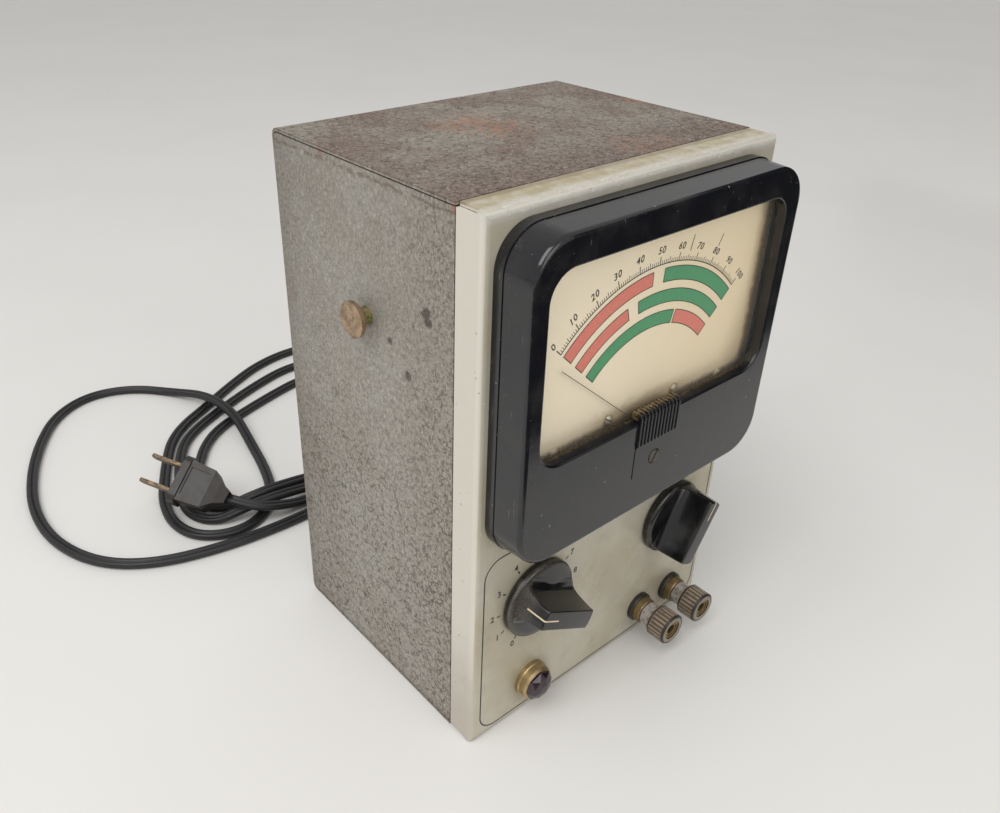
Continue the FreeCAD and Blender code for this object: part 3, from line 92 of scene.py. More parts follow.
class Wire:
    """A socket of a shader node, on which arithmetic adds Math nodes."""

    def __init__(self, sheet: NodeSheet, socket: bpy.types.NodeSocket) -> None:
        """Keeps the socket and the sheet that it belongs to."""
        self.sheet = sheet
        self.socket = socket

    def __add__(self, other: Value) -> Wire:
        """The sum of both."""
        return self.sheet.math("ADD", self, other)

    def __radd__(self, other: Value) -> Wire:
        """The sum of both."""
        return self.sheet.math("ADD", other, self)

    def __sub__(self, other: Value) -> Wire:
        """This less the other."""
        return self.sheet.math("SUBTRACT", self, other)

    def __rsub__(self, other: Value) -> Wire:
        """The other less this."""
        return self.sheet.math("SUBTRACT", other, self)

    def __mul__(self, other: Value) -> Wire:
        """The product of both."""
        return self.sheet.math("MULTIPLY", self, other)

    def __rmul__(self, other: Value) -> Wire:
        """The product of both."""
        return self.sheet.math("MULTIPLY", other, self)

    def __pow__(self, other: Value) -> Wire:
        """This to the power of the other."""
        return self.sheet.math("POWER", self, other)

    def __or__(self, other: Value) -> Wire:
        """The larger of both."""
        return self.sheet.math("MAXIMUM", self, other)

    def __ror__(self, other: Value) -> Wire:
        """The larger of both."""
        return self.sheet.math("MAXIMUM", other, self)

    def __and__(self, other: Value) -> Wire:
        """The smaller of both."""
        return self.sheet.math("MINIMUM", self, other)

    def __rand__(self, other: Value) -> Wire:
        """The smaller of both."""
        return self.sheet.math("MINIMUM", other, self)

    def __abs__(self) -> Wire:
        """The size without the sign."""
        return self.sheet.math("ABSOLUTE", self, 0.0)


def distance(across: Wire, along: Wire) -> Wire:
    """How far a point is from where both coordinates are 0."""
    return (across * across + along * along) ** 0.5


@dataclass(frozen=True)
class Spot:
    """A ragged round spot of dirt or wear, in millimetres."""

    across: float
    along: float
    reach: float
    ragged: float


class NodeSheet:
    """The node tree of one finish."""

    def __init__(self, name: str) -> None:
        """Starts an empty material of that name."""
        self.material = bpy.data.materials.new(name)
        self.material.use_nodes = True
        self.tree = self.material.node_tree
        self.tree.nodes.clear()

    def node(
        self,
        kind: str,
        settings: dict[str, object] | None = None,
        sockets: dict[str | int, object] | None = None,
        output: str | int = 0,
    ) -> Wire:
        """Adds a node.

        Args:
            kind: The node's type.
            settings: Its settings, set before its sockets.
            sockets: Values or links of its input sockets.
            output: The output socket that is wanted.

        Returns:
            The wanted output.
        """
        made = self.tree.nodes.new(kind)
        for key, value in (settings or {}).items():
            setattr(made, key, value)
        for key, value in (sockets or {}).items():
            if isinstance(value, Wire):
                self.tree.links.new(value.socket, made.inputs[key])
            else:
                made.inputs[key].default_value = value
        return Wire(self, made.outputs[output])

    def math(self, operation: str, first: Value, second: Value) -> Wire:
        """One Math node on two values."""
        return self.node("ShaderNodeMath", {"operation": operation}, {0: first, 1: second})

    def place(self) -> Wire:
        """The point on the piece, in metres."""
        return self.node("ShaderNodeTexCoord", output="Object")

    def axes(self) -> tuple[Wire, Wire, Wire]:
        """The point's three coordinates in millimetres."""
        point = self.scaled(self.place(), 1 / MM)
        split = self.node("ShaderNodeSeparateXYZ", sockets={0: point}).socket.node
        x, y, z = (Wire(self, socket) for socket in split.outputs)
        return x, y, z

    def stretched(self, size: tuple[float, float, float], turn: float = 0.0) -> Wire:
        """The point on a scaled and turned grid, for streaks.

        Args:
            size: Scale of the point on each axis; a small one draws the pattern out along it.
            turn: Turn about the front-to-back axis in degrees.

        Returns:
            The mapped point.
        """
        return self.node(
            "ShaderNodeMapping",
            sockets={"Vector": self.place(), "Rotation": (0.0, math.radians(turn), 0.0), "Scale": size},
        )

    def noise(
        self, pitch: float, detail: float = 3.0, rough: float = 0.55, point: Wire | None = None
    ) -> Wire:
        """Cloudy noise from 0 to 1.

        Args:
            pitch: Size of its patches in millimetres.
            detail: Number of finer layers.
            rough: Strength of the finer layers.
            point: The point to read it at, or none for the piece's own.

        Returns:
            The noise value.
        """
        sockets = {
            "Vector": point or self.place(),
            "Scale": 1 / (pitch * MM),
            "Detail": detail,
            "Roughness": rough,
        }
        return self.node("ShaderNodeTexNoise", sockets=sockets)

    def stirred(self, pitch: float, reach: float) -> Wire:
        """The point pushed about by noise, so that cells lose their straight edges.

        Args:
            pitch: Size of the push's patches in millimetres.
            reach: Largest push in millimetres.

        Returns:
            The pushed point.
        """
        push = self.node(
            "ShaderNodeTexNoise",
            sockets={"Vector": self.place(), "Scale": 1 / (pitch * MM), "Detail": 2.0},
            output=1,
        )
        middle = (0.5, 0.5, 0.5)
        centred = self.node("ShaderNodeVectorMath", {"operation": "SUBTRACT"}, {0: push, 1: middle})
        shift = self.scaled(centred, 2 * reach * MM)
        return self.node("ShaderNodeVectorMath", {"operation": "ADD"}, {0: self.place(), 1: shift})

    def cells(
        self, pitch: float, feature: str, point: Wire | None = None, output: str = "Distance"
    ) -> Wire:
        """Cellular noise.

        Args:
            pitch: Size of a cell in millimetres.
            feature: Which of the node's distances is read.
            point: The point to read it at, or none for the piece's own.
            output: Which of the node's outputs is wanted.

        Returns:
            The wanted output.
        """
        return self.node(
            "ShaderNodeTexVoronoi",
            {"feature": feature},
            {"Vector": point or self.place(), "Scale": 1 / (pitch * MM)},
            output,
        )

    def rise(self, value: Value, low: float, high: float) -> Wire:
        """A smooth step from 0 at low to 1 at high; low above high falls instead."""
        return self.node(
            "ShaderNodeMapRange",
            {"interpolation_type": "SMOOTHSTEP"},
            {"Value": value, "From Min": low, "From Max": high},
        )

    def blend(self, factor: Value, first: Wire | Colour, second: Wire | Colour) -> Wire:
        """A colour between two, first at 0 and second at 1."""
        return self.node("ShaderNodeMix", {"data_type": "RGBA"}, {0: factor, 6: first, 7: second}, 2)

    def scaled(self, vector: Wire, level: Value) -> Wire:
        """A point or a colour times a level."""
        return self.node("ShaderNodeVectorMath", {"operation": "SCALE"}, {0: vector, "Scale": level})

    def specks(self, pitch: float, size: float, share: float) -> Wire:
        """Scattered round specks.

        Args:
            pitch: Spacing of the places for a speck in millimetres.
            size: Radius of the largest speck as a share of the spacing.
            share: Share of the places that hold one.

        Returns:
            A mask, 1 on a speck.
        """
        near = self.cells(pitch, "F1", self.stirred(pitch * SPECK_STIR, pitch * SPECK_PUSH))
        pick = self.cells(pitch, "F1", self.stirred(pitch * SPECK_STIR, pitch * SPECK_PUSH), "Color")
        lot = self.node("ShaderNodeSeparateColor", sockets={0: pick})
        chosen = self.rise(lot, 1 - share, 1.02 - share)
        return self.rise(near, size, size * SPOT_CORE) * chosen

    def spot(self, axes: tuple[Wire, Wire], spot: Spot) -> Wire:
        """A mask that is 1 in a ragged round spot.

        Args:
            axes: The two coordinates in millimetres.
            spot: The spot's place and size on them.

        Returns:
            The mask.
        """
        gap = distance(axes[0] - spot.across, axes[1] - spot.along)
        edge = gap + (self.noise(spot.reach * 0.8, 4.0, 0.65) - 0.5) * (2 * spot.ragged)
        return self.rise(edge, spot.reach, spot.reach * SPOT_CORE)

    def spots(self, axes: tuple[Wire, Wire], spots: tuple[Spot, ...]) -> Wire:
        """A mask of several spots together.

        Args:
            axes: The two coordinates in millimetres.
            spots: The spots.

        Returns:
            The mask.
        """
        return reduce(or_, [self.spot(axes, spot) for spot in spots])

    def facing_up(self) -> Wire:
        """How squarely the surface faces upwards, from 0 to 1."""
        normal = self.node("ShaderNodeNewGeometry", output="Normal")
        upward = self.node("ShaderNodeSeparateXYZ", sockets={0: normal}, output=2)
        return self.rise(upward, 0.55, 0.9)

    def bump(self, height: Value, depth: float, strength: float = 1.0) -> Wire:
        """A Bump node.

        Args:
            height: Height from 0 to 1.
            depth: What a height of 1 is, in millimetres.
            strength: Share of the effect that is kept.

        Returns:
            The normal.
        """
        return self.node(
            "ShaderNodeBump",
            sockets={"Height": height, "Distance": depth * MM, "Strength": strength},
            output="Normal",
        )

    def skin(self, **sockets: object) -> bpy.types.Material:
        """Ends the sheet with a Principled shader.

        Args:
            **sockets: Values or links, named as the shader's sockets with _ for a space.

        Returns:
            The finished material.
        """
        named = {key.replace("_", " "): value for key, value in sockets.items()}
        shader = self.node("ShaderNodeBsdfPrincipled", sockets=named)
        self.node_output(shader)
        return self.material

    def node_output(self, shader: Wire) -> None:
        """Links a shader to the material's output."""
        out = self.tree.nodes.new("ShaderNodeOutputMaterial")
        self.tree.links.new(shader.socket, out.inputs["Surface"])


@dataclass(frozen=True)
class HammerPaint:
    """Old grey hammer paint on the steel case, with a fine dark network, stains and rust."""

    grey: Colour = tone(153, 149, 140)
    brown: Colour = tone(146, 135, 124)
    vein: Colour = tone(74, 65, 57)
    dirt: Colour = tone(92, 76, 60)
    olive: Colour = tone(134, 126, 113)
    umber: Colour = tone(116, 98, 87)
    rust: Colour = tone(160, 108, 78)
    chip: Colour = tone(52, 45, 40)
    primer: Colour = tone(150, 92, 76)
    # Colour of the painted glints.
    glint: Colour = tone(192, 190, 182)
    side: float = 63.5
    top: float = 196.85
    front: float = -52.4
    front_wear: tuple[float, float] = (66.0, 24.0)
    # Where the painted shade on the walls starts and ends, towards the back and towards the top.
    shade_back: tuple[float, float] = (8.0, 52.0)
    shade_top: tuple[float, float] = (110.0, 185.0)
    net_low: tuple[float, float] = (160.0, 60.0)
    rear: tuple[float, float] = (46.0, 58.0)
    foot: tuple[float, float] = (9.0, 3.0)
    tide_drop: float = 3.6
    chips: tuple[Spot, ...] = (
        Spot(-28.5, 160.4, 2.6, 1.6),
        Spot(-29.4, 158.5, 2.2, 1.5),
        Spot(-10.3, 144.8, 1.7, 1.1),
        Spot(-19.3, 136.4, 2.1, 1.4),
        Spot(-40.3, 64.8, 1.3, 0.9),
    )
    bared: tuple[Spot, ...] = (Spot(23.6, 195.2, 1.4, 1.2), Spot(-40.6, 195.0, 1.5, 1.3))
    rust_marks: tuple[Spot, ...] = (
        Spot(-11.5, 19.9, 5.0, 3.6),
        Spot(-5.6, 7.0, 4.4, 3.0),
        Spot(-5.9, 17.3, 3.6, 2.6),
        Spot(60.5, 7.2, 5.0, 3.2),
    )
    rust_bloom: Spot = Spot(-8.0, 14.0, 19, 12)
    rust_haze: Spot = Spot(18.0, -34.0, 14, 10)
    dark_marks: tuple[Spot, ...] = (Spot(-27.6, -2.1, 6, 4), Spot(-42.5, -27.4, 7, 5))

    def material(self) -> bpy.types.Material:
        """Builds the paint's nodes and returns the material."""
        sheet = NodeSheet("case_hammer_paint")
        x, y, z = sheet.axes()
        wall = sheet.rise(abs(x), self.side - 0.5, self.side - 0.1)
        lid = sheet.rise(z, self.top - 0.7, self.top - 0.2)
        frontward = sheet.rise(y - self.front + sheet.noise(14, 3) * 30, *self.front_wear)
        cloud = sheet.rise(sheet.noise(24, 3, 0.6), 0.36, 0.68)
        base = sheet.blend(cloud * 0.5 | frontward * 0.6, self.grey, self.brown)
        roof = sheet.blend(cloud | frontward, self.olive, self.umber)
        base = sheet.blend(lid, base, roof)
        dimple = sheet.cells(1.25, "SMOOTH_F1", sheet.stirred(1.0, 0.5))
        grain = sheet.rise(sheet.noise(0.85, 3, 0.65), 0.3, 0.7)
        # Painted shade: the walls darken towards the back and towards the top, and the lid a little.
        dull = sheet.rise(y + (sheet.noise(20, 3) - 0.5) * 30, *self.shade_back) * wall
        top_shade = sheet.rise(z + (sheet.noise(30, 3) - 0.5) * 40, *self.shade_top) * wall
        shade = 0.1 * top_shade + 0.18 * dull + 0.05 * lid
        # The pebbles' hollows, where the bump is low, are darkened as painted shade; the grain is random
        # tone.
        base = sheet.scaled(base, 0.99 - 0.32 * dimple + 0.34 * grain - shade)
        lowly = sheet.rise(z + (sheet.noise(30, 3) - 0.5) * 60, *self.net_low) | lid
        base, vein = self.network(sheet, base, frontward, lowly)
        base = self.stains(sheet, base, (y, z), wall)
        base = self.rusted(sheet, base, (x, y), lid)
        return sheet.skin(
            Base_Color=base,
            Metallic=0.12,
            Roughness=0.44 + 0.2 * vein + 0.14 * cloud,
            Normal=sheet.bump((1 - dimple) * 0.7 - vein * 0.5, 0.16, 0.7),
        )

    def network(
        self, sheet: NodeSheet, base: Wire, frontward: Wire, lowly: Wire
    ) -> tuple[Wire, Wire]:
        """Adds the broken dark lines between the paint's cells, and pale painted glints.

        Args:
            sheet: The finish's nodes.
            base: The colour so far.
            frontward: How near the front edge a point is, where the flecks are denser.
            lowly: How far down the wall a point is, where the lines show most.

        Returns:
            The new colour and the lines' mask.
        """
        broad = sheet.cells(3.3, "DISTANCE_TO_EDGE", sheet.stirred(2.2, 1.0))
        close = sheet.cells(1.7, "DISTANCE_TO_EDGE", sheet.stirred(1.2, 0.7))
        broken = sheet.rise(sheet.noise(1.8, 2, 0.5), 0.42, 0.58)
        patchy = sheet.rise(sheet.noise(7, 3, 0.6), 0.36, 0.62)
        line = sheet.rise(broad, 0.1, 0.02) * (0.3 + 0.7 * broken) * (0.2 + 0.6 * lowly)
        worm = sheet.rise(close, 0.16, 0.04) * broken * (0.24 * patchy + 0.3 * lowly + 0.46 * frontward)
        vein = line | worm
        fleck = sheet.rise(sheet.noise(0.8, 2, 0.5), 0.57, 0.68) * (0.3 + 0.35 * frontward)
        base = sheet.blend(vein | fleck, base, self.vein)
        # Painted glints: short pale streaks blended into the colour stand in for the paint flakes' sparkle.
        sparkle = sheet.noise(1, 2, 0.5, sheet.stretched((1.1, 1.1, 0.5)))
        glint = sheet.rise(sparkle, 0.58, 0.72)
        return sheet.blend(glint * 0.4, base, self.glint), vein

    def stains(self, sheet: NodeSheet, base: Wire, axes: tuple[Wire, Wire], wall: Wire) -> Wire:
        """Adds the tide mark and chips of the side walls, and darkens them towards the foot and the back
        edge.

        Args:
            sheet: The finish's nodes.
            base: The colour so far.
            axes: The point's coordinates along and up in millimetres.
            wall: Mask of the side walls.

        Returns:
            The new colour.
        """
        y, z = axes
        line = abs(z - (self.top - self.tide_drop) - (sheet.noise(6, 4, 0.7) - 0.5) * 5)
        tide = sheet.rise(line, 0.8, 0.2) * wall * sheet.rise(sheet.noise(3, 3), 0.36, 0.5)
        base = sheet.blend(tide * 0.6, base, self.dirt)
        chips = sheet.spots(axes, self.chips) * wall * sheet.rise(sheet.noise(1.3, 3), 0.3, 0.42)
        base = sheet.blend(chips * 0.8, base, self.chip)
        base = sheet.blend(sheet.spots(axes, self.bared) * wall * 0.6, base, self.primer)
        # The walls grow darker towards the foot and towards the back edge.
        rear = sheet.rise(y + sheet.noise(10, 3) * 8, *self.rear) * wall
        grime = sheet.rise(z + sheet.noise(8, 3) * 6, *self.foot) | rear * 0.8
        return sheet.blend(grime * 0.36, base, self.dirt)

    def rusted(self, sheet: NodeSheet, base: Wire, axes: tuple[Wire, Wire], lid: Wire) -> Wire:
        """Adds the rust and dark stains of the lid.

        Args:
            sheet: The finish's nodes.
            base: The colour so far.
            axes: The point's coordinates across and along in millimetres.
            lid: Mask of the lid.

        Returns:
            The new colour.
        """
        mottle = sheet.rise(sheet.noise(2.6, 4, 0.65), 0.42, 0.62)
        faint = sheet.spot(axes, self.rust_bloom) * 0.6 | sheet.spot(axes, self.rust_haze) * 0.35
        sharp = sheet.spots(axes, self.rust_marks)
        base = sheet.blend((sharp | faint) * mottle * lid * 0.8, base, self.rust)
        dark = sheet.spots(axes, self.dark_marks)
        return sheet.blend(dark * mottle * lid * 0.45, base, self.vein)


@dataclass(frozen=True)
class PanelPaint:
    """Satin silver-beige paint on the panel, a little grubby round the controls."""

    cream: Colour = tone(212, 206, 195)
    beige: Colour = tone(188, 182, 167)
    olive: Colour = tone(176, 168, 146)
    grime: Colour = tone(116, 100, 76)
    stained: Colour = tone(166, 153, 120)
    bare: Colour = tone(206, 204, 198)
    lint: Colour = tone(226, 222, 212)
    top: float = 196.85
    front: float = -52.4
    foot: tuple[float, float] = (70.0, 22.0)
    round_knob: Spot = Spot(35.5, 55.15, 24, 7)
    round_fitting: Spot = Spot(35.5, 14.5, 12.5, 4)

    def material(self) -> bpy.types.Material:
        """Builds the paint's nodes and returns the material."""
        sheet = NodeSheet("panel_silver_beige")
        x, y, z = sheet.axes()
        # The front face takes the darker beige and olive and the flanges the cream: partly grubbier paint on
        # the face, partly painted shade.
        face = sheet.rise(y, self.front + 0.6, self.front + 0.2)
        cloud = sheet.rise(sheet.noise(30, 4, 0.6), 0.35, 0.7)
        front = sheet.blend(cloud, self.beige, self.olive)
        base = sheet.blend(face, self.cream, front)
        smudge = sheet.rise(sheet.noise(8, 4, 0.62), 0.5, 0.75)
        rubbed = sheet.spot((abs(x), z), self.round_knob)
        rings = sheet.spot((abs(x), z), self.round_fitting)
        base = sheet.blend(face * (0.1 * smudge + 0.14 * rubbed + 0.3 * rings), base, self.grime)
        # The flanges grow darker towards the bottom.
        foot = sheet.rise(z + sheet.noise(14, 3) * 24, *self.foot) * (1 - face)
        base = sheet.blend(foot * 0.34, base, self.grime)
        lid = sheet.rise(z, self.top - 0.9, self.top - 0.3)
        stain = sheet.rise(sheet.noise(5, 4, 0.65), 0.36, 0.64)
        base = sheet.blend(lid * (0.6 + 0.35 * stain), base, self.stained)
        streak = sheet.rise(sheet.noise(1, 3, 0.6, sheet.stretched((0.5, 1.4, 1.4))), 0.52, 0.66)
        fold = sheet.rise(y, self.front + 5.0, self.front + 2.0)
        corner = fold * sheet.rise(z, self.top - 4.2, self.top - 2.0)
        base = sheet.blend(corner * (0.5 + 0.5 * streak), base, self.bare)
        seam = sheet.rise(y + sheet.noise(3, 3) * 1.6, self.front + 8.6, self.front + 10.2) * lid
        base = sheet.blend(seam * 0.5, base, self.grime)
        fleck = sheet.specks(4.2, 0.11, 0.2) | sheet.specks(2.3, 0.1, 0.12)
        base = sheet.blend(fleck * 0.5, base, self.grime)
        lint = sheet.specks(3.4, 0.1, 0.25) * face
        base = sheet.blend(lint * 0.55, base, self.lint)
        fine = sheet.noise(0.5, 2, 0.5)
        return sheet.skin(
            Base_Color=sheet.scaled(base, 0.985 + 0.03 * fine),
            Metallic=0.22,
            Roughness=0.34 + 0.14 * smudge + 0.12 * stain,
            Normal=sheet.bump(fine, 0.02, 0.35),
        )


@dataclass(frozen=True)
class Bakelite:
    """Black polished bakelite of the meter, with dust specks, fine scratches and a dirty window ledge."""

    black: Colour = tone(16, 17, 22)
    dust: Colour = tone(138, 130, 118)
    dirt: Colour = tone(116, 95, 64)
    ledge_front: float = -64.6
    ledge_back: float = -63.2
    ledge_high: float = 124.0

    def material(self) -> bpy.types.Material:
        """Builds the moulding's nodes and returns the material."""
        sheet = NodeSheet("meter_bakelite")
        _, y, z = sheet.axes()
        film = sheet.rise(sheet.noise(11, 4, 0.62), 0.42, 0.7)
        big = sheet.specks(4.6, 0.09, 0.3)
        small = sheet.specks(1.7, 0.12, 0.26)
        scratch = sheet.rise(sheet.noise(1, 2, 0.5, sheet.stretched((1.6, 1.6, 0.07), 34)), 0.68, 0.73)
        wear = (big * 0.75) | (small * 0.45) | (scratch * film * 0.4) | (film * 0.03)
        base = sheet.blend(wear, self.black, self.dust)
        inward = sheet.rise(y + (sheet.noise(1.2, 4, 0.7) - 0.5) * 3, self.ledge_front, self.ledge_back)
        ledge = sheet.facing_up() * sheet.rise(z, self.ledge_high, self.ledge_high - 1.5)
        settled = ledge * inward * sheet.rise(sheet.noise(0.7, 3), 0.36, 0.6)
        base = sheet.blend(settled * 0.75, base, self.dirt)
        polished = sheet.node(
            "ShaderNodeBsdfPrincipled",
            sockets={
                "Base Color": base,
                "Roughness": 0.13 + 0.08 * film + 0.45 * wear,
                "IOR": 1.58,
                "Normal": sheet.bump(sheet.noise(2.4, 2), 0.012, 0.35),
            },
        )
        dulled = sheet.node(
            "ShaderNodeBsdfPrincipled",
            sockets={"Base Color": base, "Roughness": 0.5 + 0.3 * settled, "Specular IOR Level": 0.14},
        )
        sheet.node_output(sheet.node("ShaderNodeMixShader", sockets={0: ledge, 1: polished, 2: dulled}))
        return sheet.material


@dataclass(frozen=True)
class RibbedBakelite:
    """Black bakelite of the pivot hood, dusty at the back where it meets the glass."""

    black: Colour = tone(17, 18, 22)
    dust: Colour = tone(122, 112, 98)
    brown: Colour = tone(134, 112, 78)
    dusty_front: float = -67.2
    dusty_back: float = -64.4
    crown: float = 123.0

    def material(self) -> bpy.types.Material:
        """Builds the hood's nodes and returns the material."""
        sheet = NodeSheet("pivot_hood_bakelite")
        _, y, z = sheet.axes()
        ragged = (sheet.noise(1.6, 4, 0.7) - 0.5) * 4
        heap = sheet.rise(y + ragged, self.dusty_front, self.dusty_back)
        fluff = sheet.rise(sheet.noise(0.8, 4, 0.7), 0.38, 0.62)
        heap = heap * sheet.rise(z, self.crown - 1.5, self.crown) * (0.25 + 0.6 * fluff)
        base = sheet.blend(heap, self.black, self.brown)
        speck = sheet.specks(1.3, 0.14, 0.3)
        base = sheet.blend(speck * 0.5, base, self.dust)
        return sheet.skin(
            Base_Color=base,
            Roughness=0.15 + 0.5 * heap + 0.2 * speck,
            IOR=1.58,
            Normal=sheet.bump(sheet.noise(1.2, 2), 0.012, 0.35),
        )


@dataclass(frozen=True)
class KnobBakelite:
    """Black bakelite of the bar knobs, glossy on the bar and dusty on the skirt and nose."""

    black: Colour = tone(15, 15, 17)
    dust: Colour = tone(104, 96, 85)
    front: float = -52.4
    offset: float = 35.5
    level: float = 55.15
    skirt: float = 3.1
    edge: tuple[float, float] = (1.9, 2.3)
    bar: float = 11.2
    nose: tuple[float, float] = (13.5, 8.5)
    dusty: tuple[float, float] = (20.0, -20.0)

    def material(self) -> bpy.types.Material:
        """Builds the knob's nodes and returns the material."""
        sheet = NodeSheet("knob_bakelite")
        x, y, z = sheet.axes()
        out = self.front - y
        radius = distance(abs(x) - self.offset, z - self.level)
        film = sheet.rise(sheet.noise(5, 4, 0.62), 0.36, 0.66)
        flat = sheet.rise(out, self.skirt + 0.5, self.skirt - 0.4) * sheet.rise(out, *self.edge)
        grain = sheet.rise(sheet.noise(0.5, 3, 0.6), 0.46, 0.7)
        outer = sheet.rise(radius, self.bar + 1.2, self.bar + 2.4)
        outer = outer * sheet.rise(out, *self.nose) * sheet.rise(out, *self.edge)
        speck = sheet.specks(2.4, 0.1, 0.22)
        dusty = 0.3 + 0.7 * sheet.rise(x, *self.dusty)
        settled = flat * (0.3 + 0.4 * film) | outer * (0.2 + 0.24 * grain)
        wear = settled * dusty | speck * 0.4 | film * 0.03
        return sheet.skin(
            Base_Color=sheet.blend(wear, self.black, self.dust),
            Roughness=0.1 + 0.07 * film + 0.5 * wear,
            IOR=1.58,
            Normal=sheet.bump(sheet.noise(2.4, 2), 0.012, 0.35),
        )


@dataclass(frozen=True)
class DialCard:
    """Cream painted dial plate, yellowed and dirty along its lower and right edges."""

    cream: Colour = tone(236, 223, 196)
    yellow: Colour = tone(230, 212, 177)
    dirt: Colour = tone(84, 61, 33)
    dust: Colour = tone(152, 120, 68)
    fox: Colour = tone(150, 118, 78)
    right: float = 55.0
    low: float = 117.5
    hood: float = 9.0
    round_screw: Spot = Spot(15.9, 121.2, 3.0, 1.2)

    def material(self) -> bpy.types.Material:
        """Builds the card's nodes and returns the material."""
        sheet = NodeSheet("dial_cream")
        x, _, z = sheet.axes()
        age = sheet.rise(x + (sheet.noise(24, 3) - 0.5) * 50, -40, 45)
        base = sheet.blend(age, self.cream, self.yellow)
        base = sheet.scaled(base, 0.97 + 0.06 * sheet.noise(1.1, 2))
        ragged = (sheet.noise(3, 4, 0.65) - 0.5) * 4
        near = 0.35 + 0.65 * sheet.rise(abs(x), self.hood + 21, self.hood + 3)
        heap = sheet.rise(z + ragged, self.low + 10.0, self.low + 4.0) * near
        corner = sheet.rise(x - (z - self.low) * 0.35 + ragged, self.right - 22, self.right - 8)
        shade = sheet.rise(x + ragged * 0.5, self.right - 7.5, self.right - 1.5)
        base = sheet.blend((heap | shade | corner * 0.6) * 0.68, base, self.dust)
        fluff = sheet.rise(sheet.noise(0.9, 4, 0.7), 0.4, 0.6)
        edge = sheet.rise(x + ragged, self.right - 3.6, self.right - 0.6)
        foot = sheet.rise(z + ragged * 0.5, self.low + 4.4, self.low + 1.6)
        base = sheet.blend((edge | foot) * (0.6 + 0.3 * fluff), base, self.dirt)
        ring = sheet.spot((abs(x), z), self.round_screw)
        base = sheet.blend(ring * 0.6, base, self.dirt)
        fox = sheet.specks(5.2, 0.1, 0.16)
        base = sheet.blend(fox * 0.4, base, self.fox)
        return sheet.skin(
            Base_Color=base,
            Roughness=0.62,
            Normal=sheet.bump(sheet.noise(0.7, 2), 0.01, 0.3),
        )


@dataclass(frozen=True)
class Ink:
    """Screen-printed ink, a little uneven."""

    name: str
    colour: Colour
    worn: Colour
    wear: float = 0.2

    def material(self) -> bpy.types.Material:
        """Builds the ink's nodes and returns the material."""
        sheet = NodeSheet(self.name)
        thin = sheet.rise(sheet.noise(0.8, 3, 0.6), 0.46, 0.72)
        base = sheet.blend(thin * self.wear, self.colour, self.worn)
        return sheet.skin(Base_Color=base, Roughness=0.6 + 0.1 * thin)


@dataclass(frozen=True)
class WindowGlass:
    """Flat meter glass with a faint film of dust and a sheen at a low angle."""

    clear: Colour = tone(235, 240, 236)
    dusty: Colour = tone(214, 206, 190)
    least: float = 0.006
    film: float = 0.012
    sheen: float = 0.6

    def material(self) -> bpy.types.Material:
        """Builds the glass's nodes and returns the material."""
        sheet = NodeSheet("window_glass")
        slant = sheet.node("ShaderNodeLayerWeight", sockets={"Blend": 0.5}, output="Facing")
        dust = sheet.rise(sheet.noise(7, 4, 0.65), 0.46, 0.8)
        speck = sheet.specks(3.6, 0.06, 0.16)
        cover = self.least + self.film * dust + self.sheen * slant ** 5.0 + 0.12 * speck
        return sheet.skin(
            Base_Color=sheet.blend(dust, self.clear, self.dusty),
            Roughness=0.05 + 0.1 * dust,
            IOR=1.5,
            Alpha=cover & 1.0,
        )


@dataclass(frozen=True)
class JewelGlass:
    """Dark purple cut glass of the pilot lamp."""

    wine: Colour = tone(54, 32, 42)
    deep: Colour = tone(24, 15, 20)

    def material(self) -> bpy.types.Material:
        """Builds the jewel's nodes and returns the material."""
        sheet = NodeSheet("pilot_jewel_glass")
        swirl = sheet.rise(sheet.noise(2.2, 3), 0.4, 0.65)
        return sheet.skin(
            Base_Color=sheet.blend(swirl, self.wine, self.deep),
            Roughness=0.05 + 0.06 * swirl,
            IOR=1.62,
        )


@dataclass(frozen=True)
class TarnishedBrass:
    """Brass or nickelled brass, gone brown in places and green at a stud's root."""

    name: str
    bright: Colour
    dull: Colour
    polish: float = 0.32
    cloudy: float = 1.0
    green: float = 0.0
    root: tuple[float, float] = (66.6, 64.4)
    yellow_salt: Colour = tone(150, 142, 58)
    green_salt: Colour = tone(38, 92, 66)

    def material(self) -> bpy.types.Material:
        """Builds the metal's nodes and returns the material."""
        sheet = NodeSheet(self.name)
        x = sheet.axes()[0]
        cloud = sheet.rise(sheet.noise(2.1, 4, 0.7), 0.36, 0.68) * self.cloudy
        fine = sheet.noise(0.45, 2)
        base = sheet.blend(cloud * (0.4 + 0.6 * fine), self.bright, self.dull)
        near = sheet.rise(abs(x), *self.root)
        bloom = near * sheet.rise(sheet.noise(1.5, 4, 0.7), 0.4, 0.58) * self.green
        salty = sheet.rise(sheet.noise(0.9, 2), 0.42, 0.58)
        salt = sheet.blend(salty, self.yellow_salt, self.green_salt)
        base = sheet.blend(bloom, base, salt)
        return sheet.skin(
            Base_Color=base,
            Metallic=0.94 - 0.3 * cloud - 0.5 * bloom,
            Roughness=self.polish + 0.22 * cloud + 0.08 * fine,
            Normal=sheet.bump(fine, 0.02, 0.4),
        )


@dataclass(frozen=True)
class PlainMetal:
    """Plated, cast or rolled metal inside the case and on its screws."""

    name: str
    bright: Colour
    dull: Colour
    polish: float
    metallic: float = 0.9

    def material(self) -> bpy.types.Material:
        """Builds the metal's nodes and returns the material."""
        sheet = NodeSheet(self.name)
        cloud = sheet.rise(sheet.noise(5, 4, 0.6), 0.38, 0.7)
        grain = sheet.noise(1, 2, 0.5, sheet.stretched((0.12, 2.2, 2.2)))
        base = sheet.blend(cloud * 0.7 + grain * 0.3, self.bright, self.dull)
        return sheet.skin(
            Base_Color=base,
            Metallic=self.metallic,
            Roughness=self.polish + 0.18 * cloud + 0.1 * grain,
            Normal=sheet.bump(grain, 0.012, 0.4),
        )


